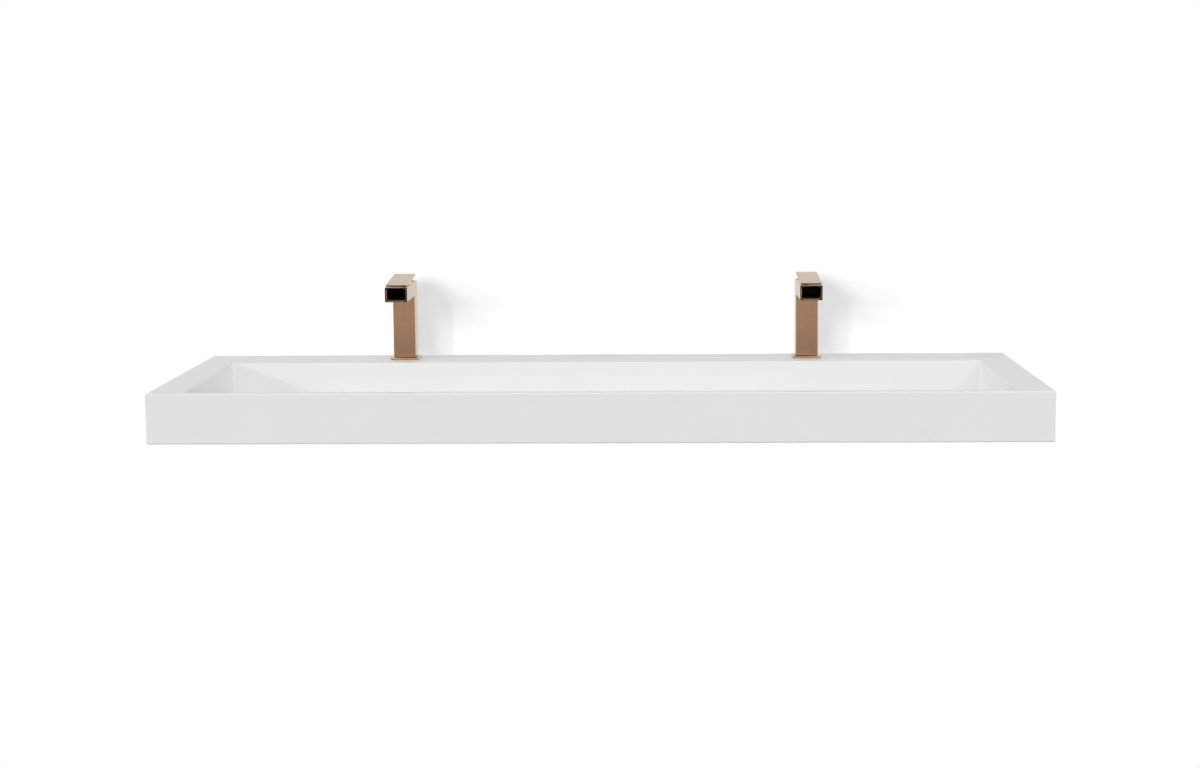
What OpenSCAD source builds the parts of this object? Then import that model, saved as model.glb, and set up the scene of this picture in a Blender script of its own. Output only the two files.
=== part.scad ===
// Wall-hung trough sink: one cast solid-surface trough on four hidden steel brackets, two square
// single-lever mixers with open-front box spouts, and two grid drains.
// The frame: +X to the right, +Y into the wall, +Z up. The wall is the plane y = 0, and the origin
// is the centre of the wall-bolt pattern on it.

/* [Trough] */
// Overall width of the trough
trough_w = 1524; // [1300:1:1800]
// Overall depth from the wall to the front face
trough_d = 559; // [520:1:620]
// Height of the front face
trough_h = 86; // [84:1:110]
// Width of the rim in front of the basin
front_rim = 19; // [14:0.5:30]
// Width of the rim at each side of the basin
side_rim = 62.6; // [45:0.1:80]
// Depth of the deck between the wall and the basin
deck_d = 124; // [110:1:140]
// Thickness of the deck, the side aprons and the basin walls
shell_t = 12; // [9:0.5:13]
// Radius on the outer edges
edge_r = 2.5; // [1:0.1:4]
// Radius of the basin's upright inner corners
basin_r = 4; // [2:0.5:10]
// Depth of the basin floor at the walls
basin_depth = 60; // [52:0.5:64]
// Fall of the basin floor from the walls to the drains
floor_fall = 8; // [4:0.5:12]
// Thickness of the basin floor beside the drains
floor_t = 12; // [9:0.5:14]
// Distance between the two faucet holes, and between the two drains
bowl_pitch = 762; // [600:1:900]

/* [Wall brackets] */
// Distance between neighbouring brackets, the spacing of wall studs
stud_pitch = 406.4; // [380:0.1:420]
// Height of the rim above the centre of the wall bolts
rim_rise = 85; // [80:1:95]
// Upright distance between a bracket's two wall bolts
wall_bolt_pitch = 90; // [80:1:110]
// Radius of the wall-bolt holes
wall_bolt_r = 5.5; // [4:0.1:6.5]
// Width of a bracket
bracket_w = 50; // [40:1:60]
// Thickness of the bracket's leg and arm
bracket_t = 6; // [4:0.5:8]
// Thickness of the stiffening flange along the arm
flange_t = 5; // [3:0.5:8]
// Height of the stiffening flange at the wall
flange_h = 28; // [18:1:34]
// Height of the stiffening flange at the arm's tip
flange_tip_h = 4; // [3:0.5:14]
// Length of leg beyond each wall bolt
leg_end = 18; // [14:0.5:24]
// Distance from the arm's tip to the front face
arm_setback = 30; // [26:1:45]
// Distance from an arm's end to its screw at the tip
screw_end = 30; // [20:1:45]
// Distance from the wall to the rear screws
rear_screw_y = 150; // [140:1:170]
// Radius of the screws that hold the trough on the arms
screw_r = 4; // [3:0.25:5]
// Length of the screw's shank under its head
screw_len = 16; // [15:0.5:17]
// Thickness of the screw's hexagon head
screw_head_h = 5.3; // [4:0.1:6.5]
// Outer radius of the insert cast into the trough
insert_r = 6.5; // [6:0.1:8]
// Length of the insert
insert_len = 10; // [9:0.5:11]
// Outer radius of the screw's washer
screw_washer_r = 8.5; // [8:0.5:10]
// Thickness of the screw's washer
screw_washer_t = 1.6; // [1:0.1:2]

/* [Faucet body] */
// Distance from the wall to the faucet's axis
faucet_y = 52; // [46:0.5:62]
// Width and depth of the square column, and width of the spout
column_w = 41.5; // [40.5:0.1:46]
// Radius on the column's upright edges
column_r = 0.8; // [0.4:0.1:1.5]
// Height of the body's top above the deck
body_top = 147.5; // [130:0.5:170]
// Distance from the faucet's axis to the spout's mouth
spout_reach = 138; // [120:1:170]
// Height of the spout's box
spout_h = 28; // [24:0.5:34]
// Radius on the spout's long edges
spout_r = 2.7; // [2:0.1:3]
// Thickness of the spout's side walls
spout_side_t = 3; // [2:0.1:4]
// Thickness of the spout's floor
spout_floor_t = 2.5; // [2:0.1:4]
// Thickness of the spout's roof
spout_roof_t = 2; // [1.5:0.1:3]
// Radius of the spout channel's corners
channel_r = 4; // [2:0.5:6]
// Width of the base plate
base_w = 53; // [50:0.5:60]
// Thickness of the base plate
base_t = 3.2; // [2.5:0.1:5]
// Chamfer on the base plate's upper edge
base_chamfer = 1; // [0.5:0.1:1.5]
// Thickness of the gasket under the base plate
base_gasket_t = 0.8; // [0.5:0.1:1.5]
// Height of the shadow groove at the column's foot
groove_h = 1.2; // [0.8:0.1:2]
// Depth of the shadow groove at the column's foot
groove_d = 1.5; // [1:0.1:2]

/* [Lever] */
// Width of the lever plate
lever_w = 40; // [30:0.5:41]
// Distance from the faucet's axis to the lever's front edge
lever_front = 133; // [110:1:136]
// Distance from the faucet's axis to the lever's rear edge
lever_back = 8; // [7.8:0.1:14]
// Thickness of the lever plate
lever_t = 2.4; // [2:0.1:3]
// Slope of the closed lever, down towards the front
lever_tilt = 4.2; // [4:0.1:5]
// Gap between the closed lever's front edge and the spout
lever_gap = 0.8; // [0.6:0.1:1.5]
// Radius of the lever plate's corners
lever_r = 2; // [1:0.1:4]
// Radius of the hub under the lever plate
hub_r = 7; // [6.6:0.1:7.2]
// Height of the hub's lower end above the body
hub_rise = 5.1; // [4.8:0.1:5.4]
// Lift of the lever from closed to fully open
lever_lift = 20; // [10:1:20]
// Radius of the grub screw that holds the hub on the stem
grub_r = 2; // [1.5:0.1:2]

/* [Cartridge] */
// Radius of the chamber bored into the top of the column
chamber_r = 18; // [17.6:0.1:18.2]
// Gap around the cartridge that leads the water to the spout
water_gap = 1; // [0.6:0.1:1.2]
// Wall of the cartridge shell
shell_wall = 3.8; // [3.6:0.1:4]
// Height of the cartridge shell
shell_h = 31.8; // [31.6:0.1:34]
// Thickness of the cartridge's floor
shell_floor_t = 4.8; // [3:0.1:5]
// Thickness of the gasket under the cartridge
seal_t = 1.2; // [0.8:0.1:2]
// Height of the nut that holds the cartridge down
nut_h = 5.3; // [4:0.1:6]
// Radius of the opening in the cartridge nut
nut_bore_r = 10; // [9.6:0.1:11]
// Thickness of the fixed ceramic disc
fixed_disc_t = 3; // [2:0.1:3]
// Thickness of the sliding ceramic disc
moving_disc_t = 2.5; // [2:0.1:2.5]
// Radius of the sliding disc and its driver
moving_disc_r = 9.5; // [8.5:0.1:9.8]
// Height of the plastic driver on the sliding disc
driver_h = 7; // [6.5:0.1:7]
// Depth of the stem's pivot pin below the cartridge's top
pivot_depth = 9; // [8.5:0.1:9.2]
// Distance from the pivot pin down to the stem's ball
stem_tail = 8.5; // [8.2:0.1:8.8]
// Radius of the stem's ball
ball_r = 2.8; // [2.5:0.1:3]
// Radius of the stem's neck above the ball
neck_r = 2.2; // [1.8:0.1:2.4]
// Width of the stem's bar across the lever
stem_w = 6.8; // [6:0.1:7]
// Depth of the stem's bar along the lever
stem_d = 6; // [5:0.1:6.2]
// Height of the stem carrier
carrier_h = 13.7; // [12.5:0.1:13.8]
// Radius of the pivot pin
pin_r = 1.5; // [1:0.1:1.6]
// Radius of the raised ring around the stem, outside
bezel_r = 17; // [16.6:0.1:18]
// Radius of the raised ring's thin foot, which covers the edge of the chamber
bezel_foot_r = 18.8; // [18.6:0.1:19.4]
// Radius of the raised ring around the stem, inside
bezel_in_r = 14.6; // [14.2:0.1:15]
// Height of the raised ring above the body
bezel_h = 2.2; // [1.5:0.1:3]
// Thickness of the ring's foot
bezel_foot_t = 0.8; // [0.6:0.1:1]

/* [Faucet fixing] */
// Radius of the faucet hole in the deck
deck_hole_r = 17.5; // [16.8:0.1:18]
// Outer radius of the threaded shank
shank_r = 16; // [15.4:0.1:16.2]
// Wall of the threaded shank
shank_wall = 2.5; // [2:0.1:2.8]
// Length of shank below the deck's top
shank_drop = 38; // [34:1:50]
// Depth of the shank's socket in the body
socket_depth = 13; // [10:0.5:20]
// Radius of the hose inlets, an M10 thread
inlet_r = 5; // [4.5:0.1:5.2]
// Depth of the hose inlets' thread
inlet_depth = 10; // [8:0.5:14]
// Distance between the two hose inlets
inlet_pitch = 13.6; // [13:0.1:14]
// Radius of the water ways from the inlets up to the cartridge
passage_r = 3; // [2:0.1:3.2]
// Outer radius of the rubber and metal washers under the deck
shank_washer_r = 24; // [20:0.5:28]
// Thickness of the rubber washer under the deck
shank_seal_t = 2.5; // [1.5:0.1:3]
// Thickness of the metal washer under the deck
shank_washer_t = 2; // [1:0.1:2.5]
// Height of the shank's nut
shank_nut_h = 10; // [8:0.5:12]
// Width of the shank's nut across its flats
shank_nut_af = 42; // [40:0.5:48]

/* [Drains] */
// Distance from the wall to the drains
drain_y = 270; // [240:1:330]
// Radius of the strainer's flange
drain_flange_r = 35; // [32:0.5:38]
// Thickness of the strainer's flange
drain_flange_t = 2.5; // [2:0.1:3]
// Thickness of the gasket under the flange
drain_gasket_t = 1.5; // [1:0.1:2]
// Outer radius of the strainer's threaded body
drain_body_r = 22; // [21:0.1:23]
// Wall of the strainer's threaded body
drain_body_t = 3; // [2:0.1:4]
// Length of the strainer's threaded body below the basin
drain_body_drop = 26; // [25:0.5:30]
// Height of the neck that holds the tailpiece
drain_neck_h = 8; // [6:0.5:10]
// Radius of a strainer hole
strainer_hole_r = 2.4; // [1.5:0.1:2.6]
// Distance between the strainer's rings of holes
strainer_pitch = 6.6; // [6.2:0.1:6.8]
// Height of the rubber washer under the basin
drain_seal_h = 6; // [4:0.5:7]
// Outer radius of the washers under the basin
drain_washer_r = 32; // [30:0.5:36]
// Thickness of the slip washer
drain_washer_t = 2; // [1:0.1:2.5]
// Height of the drain nut
drain_nut_h = 9; // [7:0.5:10]
// Width of the drain nut across its flats
drain_nut_af = 58; // [54:0.5:62]
// Outer radius of the tailpiece
tail_r = 15.875; // [15:0.005:16.5]
// Wall of the tailpiece
tail_t = 1.2; // [0.9:0.1:2]
// Length of tailpiece below the strainer's body
tail_drop = 22; // [18:0.5:26]
// Depth of the step from the tailpiece down to its threaded end
tail_step = 0.5; // [0.2:0.1:0.6]

/* [Hidden] */
$fn = 96;
hull_fn = 32;

white_cast = [0.88, 0.89, 0.88];
rose_gold = [0.79, 0.62, 0.5];
raw_brass = [0.8, 0.68, 0.4];
bare_steel = [0.72, 0.73, 0.75];
coated_steel = [0.82, 0.82, 0.82];
black_rubber = [0.12, 0.12, 0.12];
grey_plastic = [0.45, 0.47, 0.5];
white_ceramic = [0.93, 0.93, 0.9];

left = -1;
right = 1;
overrun = 1; // how far a cutter runs past the face that it opens
thread_gap = 0.05; // between a thread's two halves, at their full radius
running_gap = 0.1; // radial clearance of a piece that turns inside another
slide_gap = 0.05; // between the two ceramic discs
seat_gap = 0.2; // between a piece and the end of its socket
washer_gap = 0.2; // radial clearance of a washer on its thread
hole_gap = 0.5; // radial clearance of a bolt or shank in a plain hole
swing_gap = 0.3; // between the stem and the slot that it swings in

// Heights of the trough
rim_z = rim_rise;
deck_under_z = rim_z - shell_t;
floor_z = rim_z - basin_depth;
drain_z = floor_z - floor_fall;
floor_under_z = drain_z - floor_t;
trough_bottom_z = rim_z - trough_h;
basin_w = trough_w - 2 * side_rim;
basin_front_y = -(trough_d - front_rim);
basin_back_y = -deck_d;
basin_len = basin_back_y - basin_front_y;

// Brackets
arm_under_z = floor_under_z - bracket_t;
arm_tip_y = -(trough_d - arm_setback);
leg_top_z = wall_bolt_pitch / 2 + leg_end;
leg_bottom_z = -wall_bolt_pitch / 2 - leg_end;
front_screw_y = arm_tip_y + screw_end;
screw_head_z = arm_under_z - screw_washer_t;
screw_top_z = screw_head_z + screw_len;
screw_head_af = 3.25 * screw_r; // a standard hexagon head's width goes with its thread
insert_top_z = floor_under_z + insert_len;
bracket_xs = [-1.5, -0.5, 0.5, 1.5] * stud_pitch;

// Faucet, as heights above the deck
foot_z = base_gasket_t + base_t;
socket_top = foot_z + socket_depth;
inlet_top = socket_top + inlet_depth;
spout_bottom = body_top - spout_h;
spout_middle = body_top - spout_h / 2;
channel_bottom = spout_bottom + spout_floor_t;
channel_top = body_top - spout_roof_t;
channel_w = column_w - 2 * spout_side_t;
nut_top = body_top - seat_gap;
shell_top = nut_top - nut_h;
shell_bottom = shell_top - shell_h;
chamber_floor = shell_bottom - seal_t;
shell_r = chamber_r - water_gap;
cavity_r = shell_r - shell_wall;
cavity_floor = shell_bottom + shell_floor_t;
fixed_disc_top = cavity_floor + fixed_disc_t;
moving_disc_bottom = fixed_disc_top + slide_gap;
moving_disc_top = moving_disc_bottom + moving_disc_t;
driver_top = moving_disc_top + driver_h;
pivot_z = shell_top - pivot_depth;
ball_z = pivot_z - stem_tail;
carrier_top = shell_top - swing_gap;
carrier_bottom = carrier_top - carrier_h;
carrier_r = cavity_r - running_gap;
bar_below_pivot = 3.5;
port_h = 6;
port_w = 14;
water_way_y = 2; // how far behind the faucet's axis the cartridge's two inlets lie
water_outlet_y = -6.5;
water_outlet_r = 3.5;

// Lever
lever_under_front = body_top + lever_gap;
lever_len = (lever_front + lever_back) / cos(lever_tilt);
hub_bottom = body_top + hub_rise;
hub_top = lever_under_front + lever_front * tan(lever_tilt) + lever_t / 2;
stem_top = hub_top - lever_t;
grub_z = (hub_bottom + stem_top) / 2;

// Drain
drain_recess_z = drain_z - drain_flange_t - drain_gasket_t;
drain_gasket_z = drain_z - drain_flange_t;
drain_body_end_z = floor_under_z - drain_body_drop;
drain_throat_r = drain_body_r - drain_body_t;
tail_thread_r = tail_r - tail_step;
drain_landing = 4; // flat ring of basin floor around the strainer

// ---- shared shapes

// A rectangle from y = -d to 0 with its two corners at -d rounded.
module front_rounded(w, d, r) {
    translate([-w / 2, r - d]) square([w, d - r]);
    translate([r - w / 2, -d]) square([w - 2 * r, d]);
    for (x = [r - w / 2, w / 2 - r]) translate([x, r - d]) circle(r);
}

// A rectangle centred on the origin with all its corners rounded.
module rounded_rect(w, d, r) {
    square([w - 2 * r, d], center = true);
    square([w, d - 2 * r], center = true);
    for (x = [r - w / 2, w / 2 - r], y = [r - d / 2, d / 2 - r]) translate([x, y]) circle(r);
}

module tube(outer_r, inner_r, bottom, top) {
    difference() {
        translate([0, 0, bottom]) cylinder(r = outer_r, h = top - bottom);
        translate([0, 0, bottom - overrun]) cylinder(r = inner_r, h = top - bottom + 2 * overrun);
    }
}

module hex_nut(across_flats, inner_r, bottom, top) {
    difference() {
        translate([0, 0, bottom]) cylinder(d = across_flats / cos(30), h = top - bottom, $fn = 6);
        translate([0, 0, bottom - overrun]) cylinder(r = inner_r, h = top - bottom + 2 * overrun);
    }
}

module at_faucet(side) translate([side * bowl_pitch / 2, -faucet_y, rim_z]) children();

module at_drain(side) translate([side * bowl_pitch / 2, -drain_y, 0]) children();

module at_arm_screws() {
    for (x = bracket_xs, y = [front_screw_y, -rear_screw_y]) translate([x, y, 0]) children();
}

// ---- trough

module outer_slab() {
    intersection() {
        translate([0, 0, trough_bottom_z]) linear_extrude(trough_h) front_rounded(trough_w, trough_d, edge_r);
        translate([0, 0, (rim_z + trough_bottom_z) / 2]) rotate([90, 0, 0])
            linear_extrude(trough_d) rounded_rect(trough_w, trough_h, edge_r);
        translate([-trough_w / 2, 0, (rim_z + trough_bottom_z) / 2]) rotate([90, 0, 90])
            linear_extrude(trough_w) front_edges_rounded();
    }
}

// The slab's side view: both front edges rounded, the edges at the wall square.
module front_edges_rounded() {
    translate([edge_r - trough_d, -trough_h / 2]) square([trough_d - edge_r, trough_h]);
    translate([-trough_d, edge_r - trough_h / 2]) square([trough_d, trough_h - 2 * edge_r]);
    for (z = [edge_r - trough_h / 2, trough_h / 2 - edge_r])
        translate([edge_r - trough_d, z]) circle(edge_r);
}

// The hollow under the deck and the side rims, open below and towards the wall.
module underside_hollow() {
    difference() {
        translate([shell_t - trough_w / 2, basin_front_y, trough_bottom_z - overrun])
            cube([trough_w - 2 * shell_t, overrun - basin_front_y, trough_h - shell_t + overrun]);
        translate([-basin_w / 2 - shell_t, basin_front_y - overrun, floor_under_z])
            cube([basin_w + 2 * shell_t, basin_len + shell_t + overrun, rim_z - floor_under_z]);
    }
}

module basin_pocket() {
    translate([0, (basin_front_y + basin_back_y) / 2, floor_z])
        linear_extrude(basin_depth + overrun) rounded_rect(basin_w, basin_len, basin_r);
    for (side = [left, right]) basin_fall(side);
}

// Half of the basin floor falls on all sides to its own drain.
module basin_fall(side) {
    reach = basin_w / 2 - basin_r;
    hull() {
        translate([min(0, side * reach), basin_front_y + basin_r, floor_z])
            cube([reach, basin_len - 2 * basin_r, overrun]);
        at_drain(side) translate([0, 0, drain_z])
            cylinder(r = drain_flange_r + drain_landing, h = floor_fall, $fn = hull_fn);
    }
}

module trough() color(white_cast) {
    difference() {
        outer_slab();
        underside_hollow();
        basin_pocket();
        for (side = [left, right]) {
            at_faucet(side) translate([0, 0, -shell_t - overrun])
                cylinder(r = deck_hole_r, h = shell_t + 2 * overrun);
            at_drain(side) translate([0, 0, floor_under_z - overrun])
                cylinder(r = drain_body_r + hole_gap, h = floor_t + 2 * overrun);
            at_drain(side) translate([0, 0, drain_recess_z])
                cylinder(r = drain_flange_r + hole_gap, h = drain_z - drain_recess_z + overrun);
        }
        at_arm_screws() translate([0, 0, floor_under_z - overrun])
            cylinder(r = insert_r, h = insert_len + overrun);
    }
}

// ---- brackets and their screws

// A flat leg on the wall, a flat arm under the basin, and a tapered flange along one edge of the arm.
module bracket(x, flange_side) color(coated_steel) translate([x, 0, 0]) {
    difference() {
        union() {
            translate([-bracket_w / 2, -bracket_t, leg_bottom_z])
                cube([bracket_w, bracket_t, leg_top_z - leg_bottom_z]);
            translate([-bracket_w / 2, arm_tip_y, arm_under_z])
                cube([bracket_w, -arm_tip_y, bracket_t]);
            translate([flange_side > 0 ? bracket_w / 2 - flange_t : -bracket_w / 2, 0, arm_under_z])
                rotate([90, 0, 90]) linear_extrude(flange_t)
                    polygon([[0, overrun], [0, -flange_h], [arm_tip_y, -flange_tip_h], [arm_tip_y, overrun]]);
        }
        for (z = [-wall_bolt_pitch / 2, wall_bolt_pitch / 2]) translate([0, overrun, z])
            rotate([90, 0, 0]) cylinder(r = wall_bolt_r, h = bracket_t + 2 * overrun);
        for (y = [front_screw_y, -rear_screw_y]) translate([0, y, arm_under_z - overrun])
            cylinder(r = screw_r + hole_gap, h = bracket_t + 2 * overrun);
    }
}

module cast_inserts() color(raw_brass) at_arm_screws() {
    difference() {
        translate([0, 0, floor_under_z]) cylinder(r = insert_r, h = insert_len);
        translate([0, 0, floor_under_z - overrun])
            cylinder(r = screw_r + thread_gap, h = screw_top_z + seat_gap - floor_under_z + overrun);
    }
}

module arm_screws() color(bare_steel) at_arm_screws() {
    translate([0, 0, screw_head_z]) cylinder(r = screw_r, h = screw_len);
    translate([0, 0, screw_head_z - screw_head_h])
        cylinder(d = screw_head_af / cos(30), h = screw_head_h, $fn = 6);
}

module arm_washers() color(bare_steel) at_arm_screws()
    tube(screw_washer_r, screw_r + washer_gap, screw_head_z, arm_under_z);

// ---- faucet

module base_gasket(side) color(black_rubber) at_faucet(side) difference() {
    gasket_w = base_w - 2 * base_chamfer;
    linear_extrude(base_gasket_t) rounded_rect(gasket_w, gasket_w, column_r);
    translate([0, 0, -overrun]) cylinder(r = shank_r + hole_gap, h = base_gasket_t + 2 * overrun);
}

// The plate's chamfer is cut along its four upper edges.
module base_plate(side) color(rose_gold) at_faucet(side) difference() {
    translate([0, 0, base_gasket_t]) linear_extrude(base_t) rounded_rect(base_w, base_w, column_r);
    translate([0, 0, -overrun]) cylinder(r = shank_r + hole_gap, h = foot_z + 2 * overrun);
    for (turn = [0, 90, 180, 270]) rotate(turn) translate([0, base_w / 2, foot_z]) rotate([45, 0, 0])
        cube([base_w + overrun, base_chamfer * sqrt(2), base_chamfer * sqrt(2)], center = true);
}

module faucet_body(side) color(rose_gold) at_faucet(side) difference() {
    union() {
        translate([0, 0, foot_z + groove_h]) linear_extrude(spout_middle - foot_z - groove_h)
            rounded_rect(column_w, column_w, column_r);
        translate([0, 0, foot_z]) linear_extrude(groove_h + overrun)
            rounded_rect(column_w - 2 * groove_d, column_w - 2 * groove_d, column_r);
        translate([0, column_w / 2, spout_middle]) rotate([90, 0, 0])
            linear_extrude(column_w / 2 + spout_reach) rounded_rect(column_w, spout_h, spout_r);
    }
    spout_channel();
    translate([0, 0, chamber_floor]) cylinder(r = chamber_r, h = body_top - chamber_floor + overrun);
    translate([-port_w / 2, -column_w / 2 - overrun, channel_bottom])
        cube([port_w, column_w / 2, port_h]);
    translate([0, 0, foot_z - overrun]) cylinder(r = shank_r + thread_gap, h = socket_depth + overrun);
    for (x = [-inlet_pitch / 2, inlet_pitch / 2]) {
        translate([x, 0, socket_top - overrun]) cylinder(r = inlet_r, h = inlet_depth + overrun);
        translate([x, 0, inlet_top - overrun])
            cylinder(r = passage_r, h = chamber_floor - inlet_top + 2 * overrun);
    }
}

module spout_channel() {
    translate([0, -column_w / 2, (channel_bottom + channel_top) / 2]) rotate([90, 0, 0])
        linear_extrude(spout_reach) rounded_rect(channel_w, channel_top - channel_bottom, channel_r);
}

// The two inlets and the outlet of the cartridge, cut through its floor parts alike.
module water_ways(bottom, top) {
    for (x = [-inlet_pitch / 2, inlet_pitch / 2]) translate([x, 0, bottom - overrun])
        cylinder(r = passage_r, h = top - bottom + 2 * overrun);
    translate([0, water_outlet_y, bottom - overrun])
        cylinder(r = water_outlet_r, h = top - bottom + 2 * overrun);
}

module cartridge_gasket(side) color(black_rubber) at_faucet(side) difference() {
    translate([0, 0, chamber_floor]) cylinder(r = shell_r - hole_gap, h = seal_t);
    water_ways(chamber_floor, shell_bottom);
}

module cartridge_shell(side) color(grey_plastic) at_faucet(side) difference() {
    translate([0, 0, shell_bottom]) cylinder(r = shell_r, h = shell_h);
    translate([0, 0, cavity_floor]) cylinder(r = cavity_r, h = shell_top - cavity_floor + overrun);
    water_ways(shell_bottom, cavity_floor);
}

module fixed_disc(side) color(white_ceramic) at_faucet(side) difference() {
    translate([0, 0, cavity_floor]) cylinder(r = cavity_r - running_gap, h = fixed_disc_t);
    water_ways(cavity_floor, fixed_disc_top);
}

// The sliding disc has a mixing hollow in its underside.
module moving_disc(side) color(white_ceramic) at_faucet(side) difference() {
    translate([0, 0, moving_disc_bottom]) cylinder(r = moving_disc_r, h = moving_disc_t);
    translate([0, 0, moving_disc_bottom - overrun])
        cylinder(r = moving_disc_r / 2, h = moving_disc_t / 2 + overrun);
}

// The driver's socket takes the stem's ball, and opens wider above it for the leaning neck.
module disc_driver(side) color(grey_plastic) at_faucet(side) difference() {
    translate([0, 0, moving_disc_top]) cylinder(r = moving_disc_r, h = driver_h);
    translate([0, 0, ball_z - ball_r - seat_gap])
        cylinder(r = ball_r + swing_gap / 2, h = driver_top - ball_z + ball_r + overrun);
    translate([0, 0, ball_z + neck_r / 2]) cylinder(r = ball_r + neck_r, h = driver_top - ball_z);
}

// The carrier turns in the cartridge; its slot lets the stem lean back as the lever lifts.
module stem_carrier(side) color(grey_plastic) at_faucet(side) difference() {
    slot_w = stem_w + 2 * swing_gap;
    slot_front = stem_d / 2 + (pivot_z - carrier_bottom) * tan(lever_lift) + swing_gap;
    slot_back = stem_d / 2 / cos(lever_lift) + (carrier_top - pivot_z) * tan(lever_lift) + swing_gap;
    translate([0, 0, carrier_bottom]) cylinder(r = carrier_r, h = carrier_h);
    translate([-slot_w / 2, -slot_front, carrier_bottom - overrun])
        cube([slot_w, slot_front + slot_back, carrier_h + 2 * overrun]);
    translate([0, 0, pivot_z]) rotate([0, 90, 0]) cylinder(r = pin_r, h = 2 * carrier_r, center = true);
}

module pivot_pin(side) color(bare_steel) at_faucet(side) translate([0, 0, pivot_z])
    rotate([0, 90, 0]) cylinder(r = pin_r, h = 2 * (carrier_r - overrun), center = true);

module stem(side) color(bare_steel) at_faucet(side) difference() {
    union() {
        translate([0, 0, ball_z]) sphere(ball_r);
        translate([0, 0, ball_z]) cylinder(r = neck_r, h = stem_tail);
        translate([-stem_w / 2, -stem_d / 2, pivot_z - bar_below_pivot])
            cube([stem_w, stem_d, stem_top - pivot_z + bar_below_pivot]);
    }
    translate([0, 0, pivot_z]) rotate([0, 90, 0])
        cylinder(r = pin_r + thread_gap, h = stem_w + 2 * overrun, center = true);
}

// A round thread below and a hexagon for the spanner above.
module cartridge_nut(side) color(raw_brass) at_faucet(side) {
    thread_top = shell_top + nut_h / 2;
    tube(chamber_r - thread_gap, nut_bore_r, shell_top, thread_top);
    hex_nut(2 * (chamber_r - washer_gap) * cos(30), nut_bore_r, thread_top, nut_top);
}

module bezel_ring(side) color(rose_gold) at_faucet(side) {
    tube(bezel_r, bezel_in_r, body_top, body_top + bezel_h);
    tube(bezel_foot_r, nut_bore_r, body_top, body_top + bezel_foot_t);
}

module lever(side) color(rose_gold) at_faucet(side) difference() {
    union() {
        translate([0, -lever_front, lever_under_front]) rotate([lever_tilt, 0, 0])
            translate([0, lever_len / 2, 0])
                linear_extrude(lever_t) rounded_rect(lever_w, lever_len, lever_r);
        translate([0, 0, hub_bottom]) cylinder(r = hub_r, h = hub_top - hub_bottom);
    }
    translate([-stem_w / 2 - thread_gap, -stem_d / 2 - thread_gap, hub_bottom - overrun])
        cube([stem_w + 2 * thread_gap, stem_d + 2 * thread_gap, stem_top + seat_gap - hub_bottom + overrun]);
    translate([0, 0, grub_z]) rotate([-90, 0, 0]) cylinder(r = grub_r, h = hub_r + overrun);
}

module grub_screw(side) color(bare_steel) at_faucet(side) translate([0, stem_d / 2, grub_z])
    rotate([-90, 0, 0]) cylinder(r = grub_r - thread_gap, h = hub_r - stem_d / 2 - seat_gap);

module shank(side) color(raw_brass) at_faucet(side)
    tube(shank_r, shank_r - shank_wall, -shank_drop, socket_top - seat_gap);

module shank_seal(side) color(black_rubber) at_faucet(side)
    tube(shank_washer_r, shank_r + washer_gap, -shell_t - shank_seal_t, -shell_t);

module shank_washer(side) color(bare_steel) at_faucet(side) {
    top = -shell_t - shank_seal_t;
    tube(shank_washer_r, shank_r + washer_gap, top - shank_washer_t, top);
}

module shank_nut(side) color(raw_brass) at_faucet(side) {
    top = -shell_t - shank_seal_t - shank_washer_t;
    hex_nut(shank_nut_af, shank_r + thread_gap, top - shank_nut_h, top);
}

// ---- drain

module strainer(side) color(rose_gold) at_drain(side) difference() {
    union() {
        translate([0, 0, drain_gasket_z]) cylinder(r = drain_flange_r, h = drain_flange_t);
        translate([0, 0, drain_body_end_z]) cylinder(r = drain_body_r, h = drain_gasket_z - drain_body_end_z);
    }
    translate([0, 0, drain_body_end_z + drain_neck_h])
        cylinder(r = drain_throat_r, h = drain_gasket_z - drain_body_end_z - drain_neck_h);
    translate([0, 0, drain_body_end_z - overrun])
        cylinder(r = tail_thread_r + thread_gap, h = drain_neck_h + 2 * overrun);
    strainer_holes();
}

// One hole in the middle and two rings of 6 and 12 around it.
module strainer_holes() {
    for (ring = [0, 1, 2], i = [0 : max(0, 6 * ring - 1)])
        rotate(i * 360 / max(1, 6 * ring)) translate([ring * strainer_pitch, 0, drain_gasket_z - overrun])
            cylinder(r = strainer_hole_r, h = drain_flange_t + 2 * overrun);
}

module strainer_gasket(side) color(black_rubber) at_drain(side)
    tube(drain_flange_r - hole_gap, drain_body_r + washer_gap, drain_recess_z, drain_gasket_z);

module drain_seal(side) color(black_rubber) at_drain(side)
    tube(drain_washer_r, drain_body_r + washer_gap, floor_under_z - drain_seal_h, floor_under_z);

module drain_washer(side) color(grey_plastic) at_drain(side) {
    top = floor_under_z - drain_seal_h;
    tube(drain_washer_r, drain_body_r + washer_gap, top - drain_washer_t, top);
}

module drain_nut(side) color(raw_brass) at_drain(side) {
    top = floor_under_z - drain_seal_h - drain_washer_t;
    hex_nut(drain_nut_af, drain_body_r + thread_gap, top - drain_nut_h, top);
}

// The tailpiece screws into the strainer's neck by a slightly thinner threaded end.
module tailpiece(side) color(raw_brass) at_drain(side) difference() {
    union() {
        translate([0, 0, drain_body_end_z - tail_drop]) cylinder(r = tail_r, h = tail_drop);
        translate([0, 0, drain_body_end_z]) cylinder(r = tail_thread_r, h = drain_neck_h);
    }
    translate([0, 0, drain_body_end_z - tail_drop - overrun])
        cylinder(r = tail_r - tail_t, h = tail_drop + drain_neck_h + 2 * overrun);
}

// ---- the assembly

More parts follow.
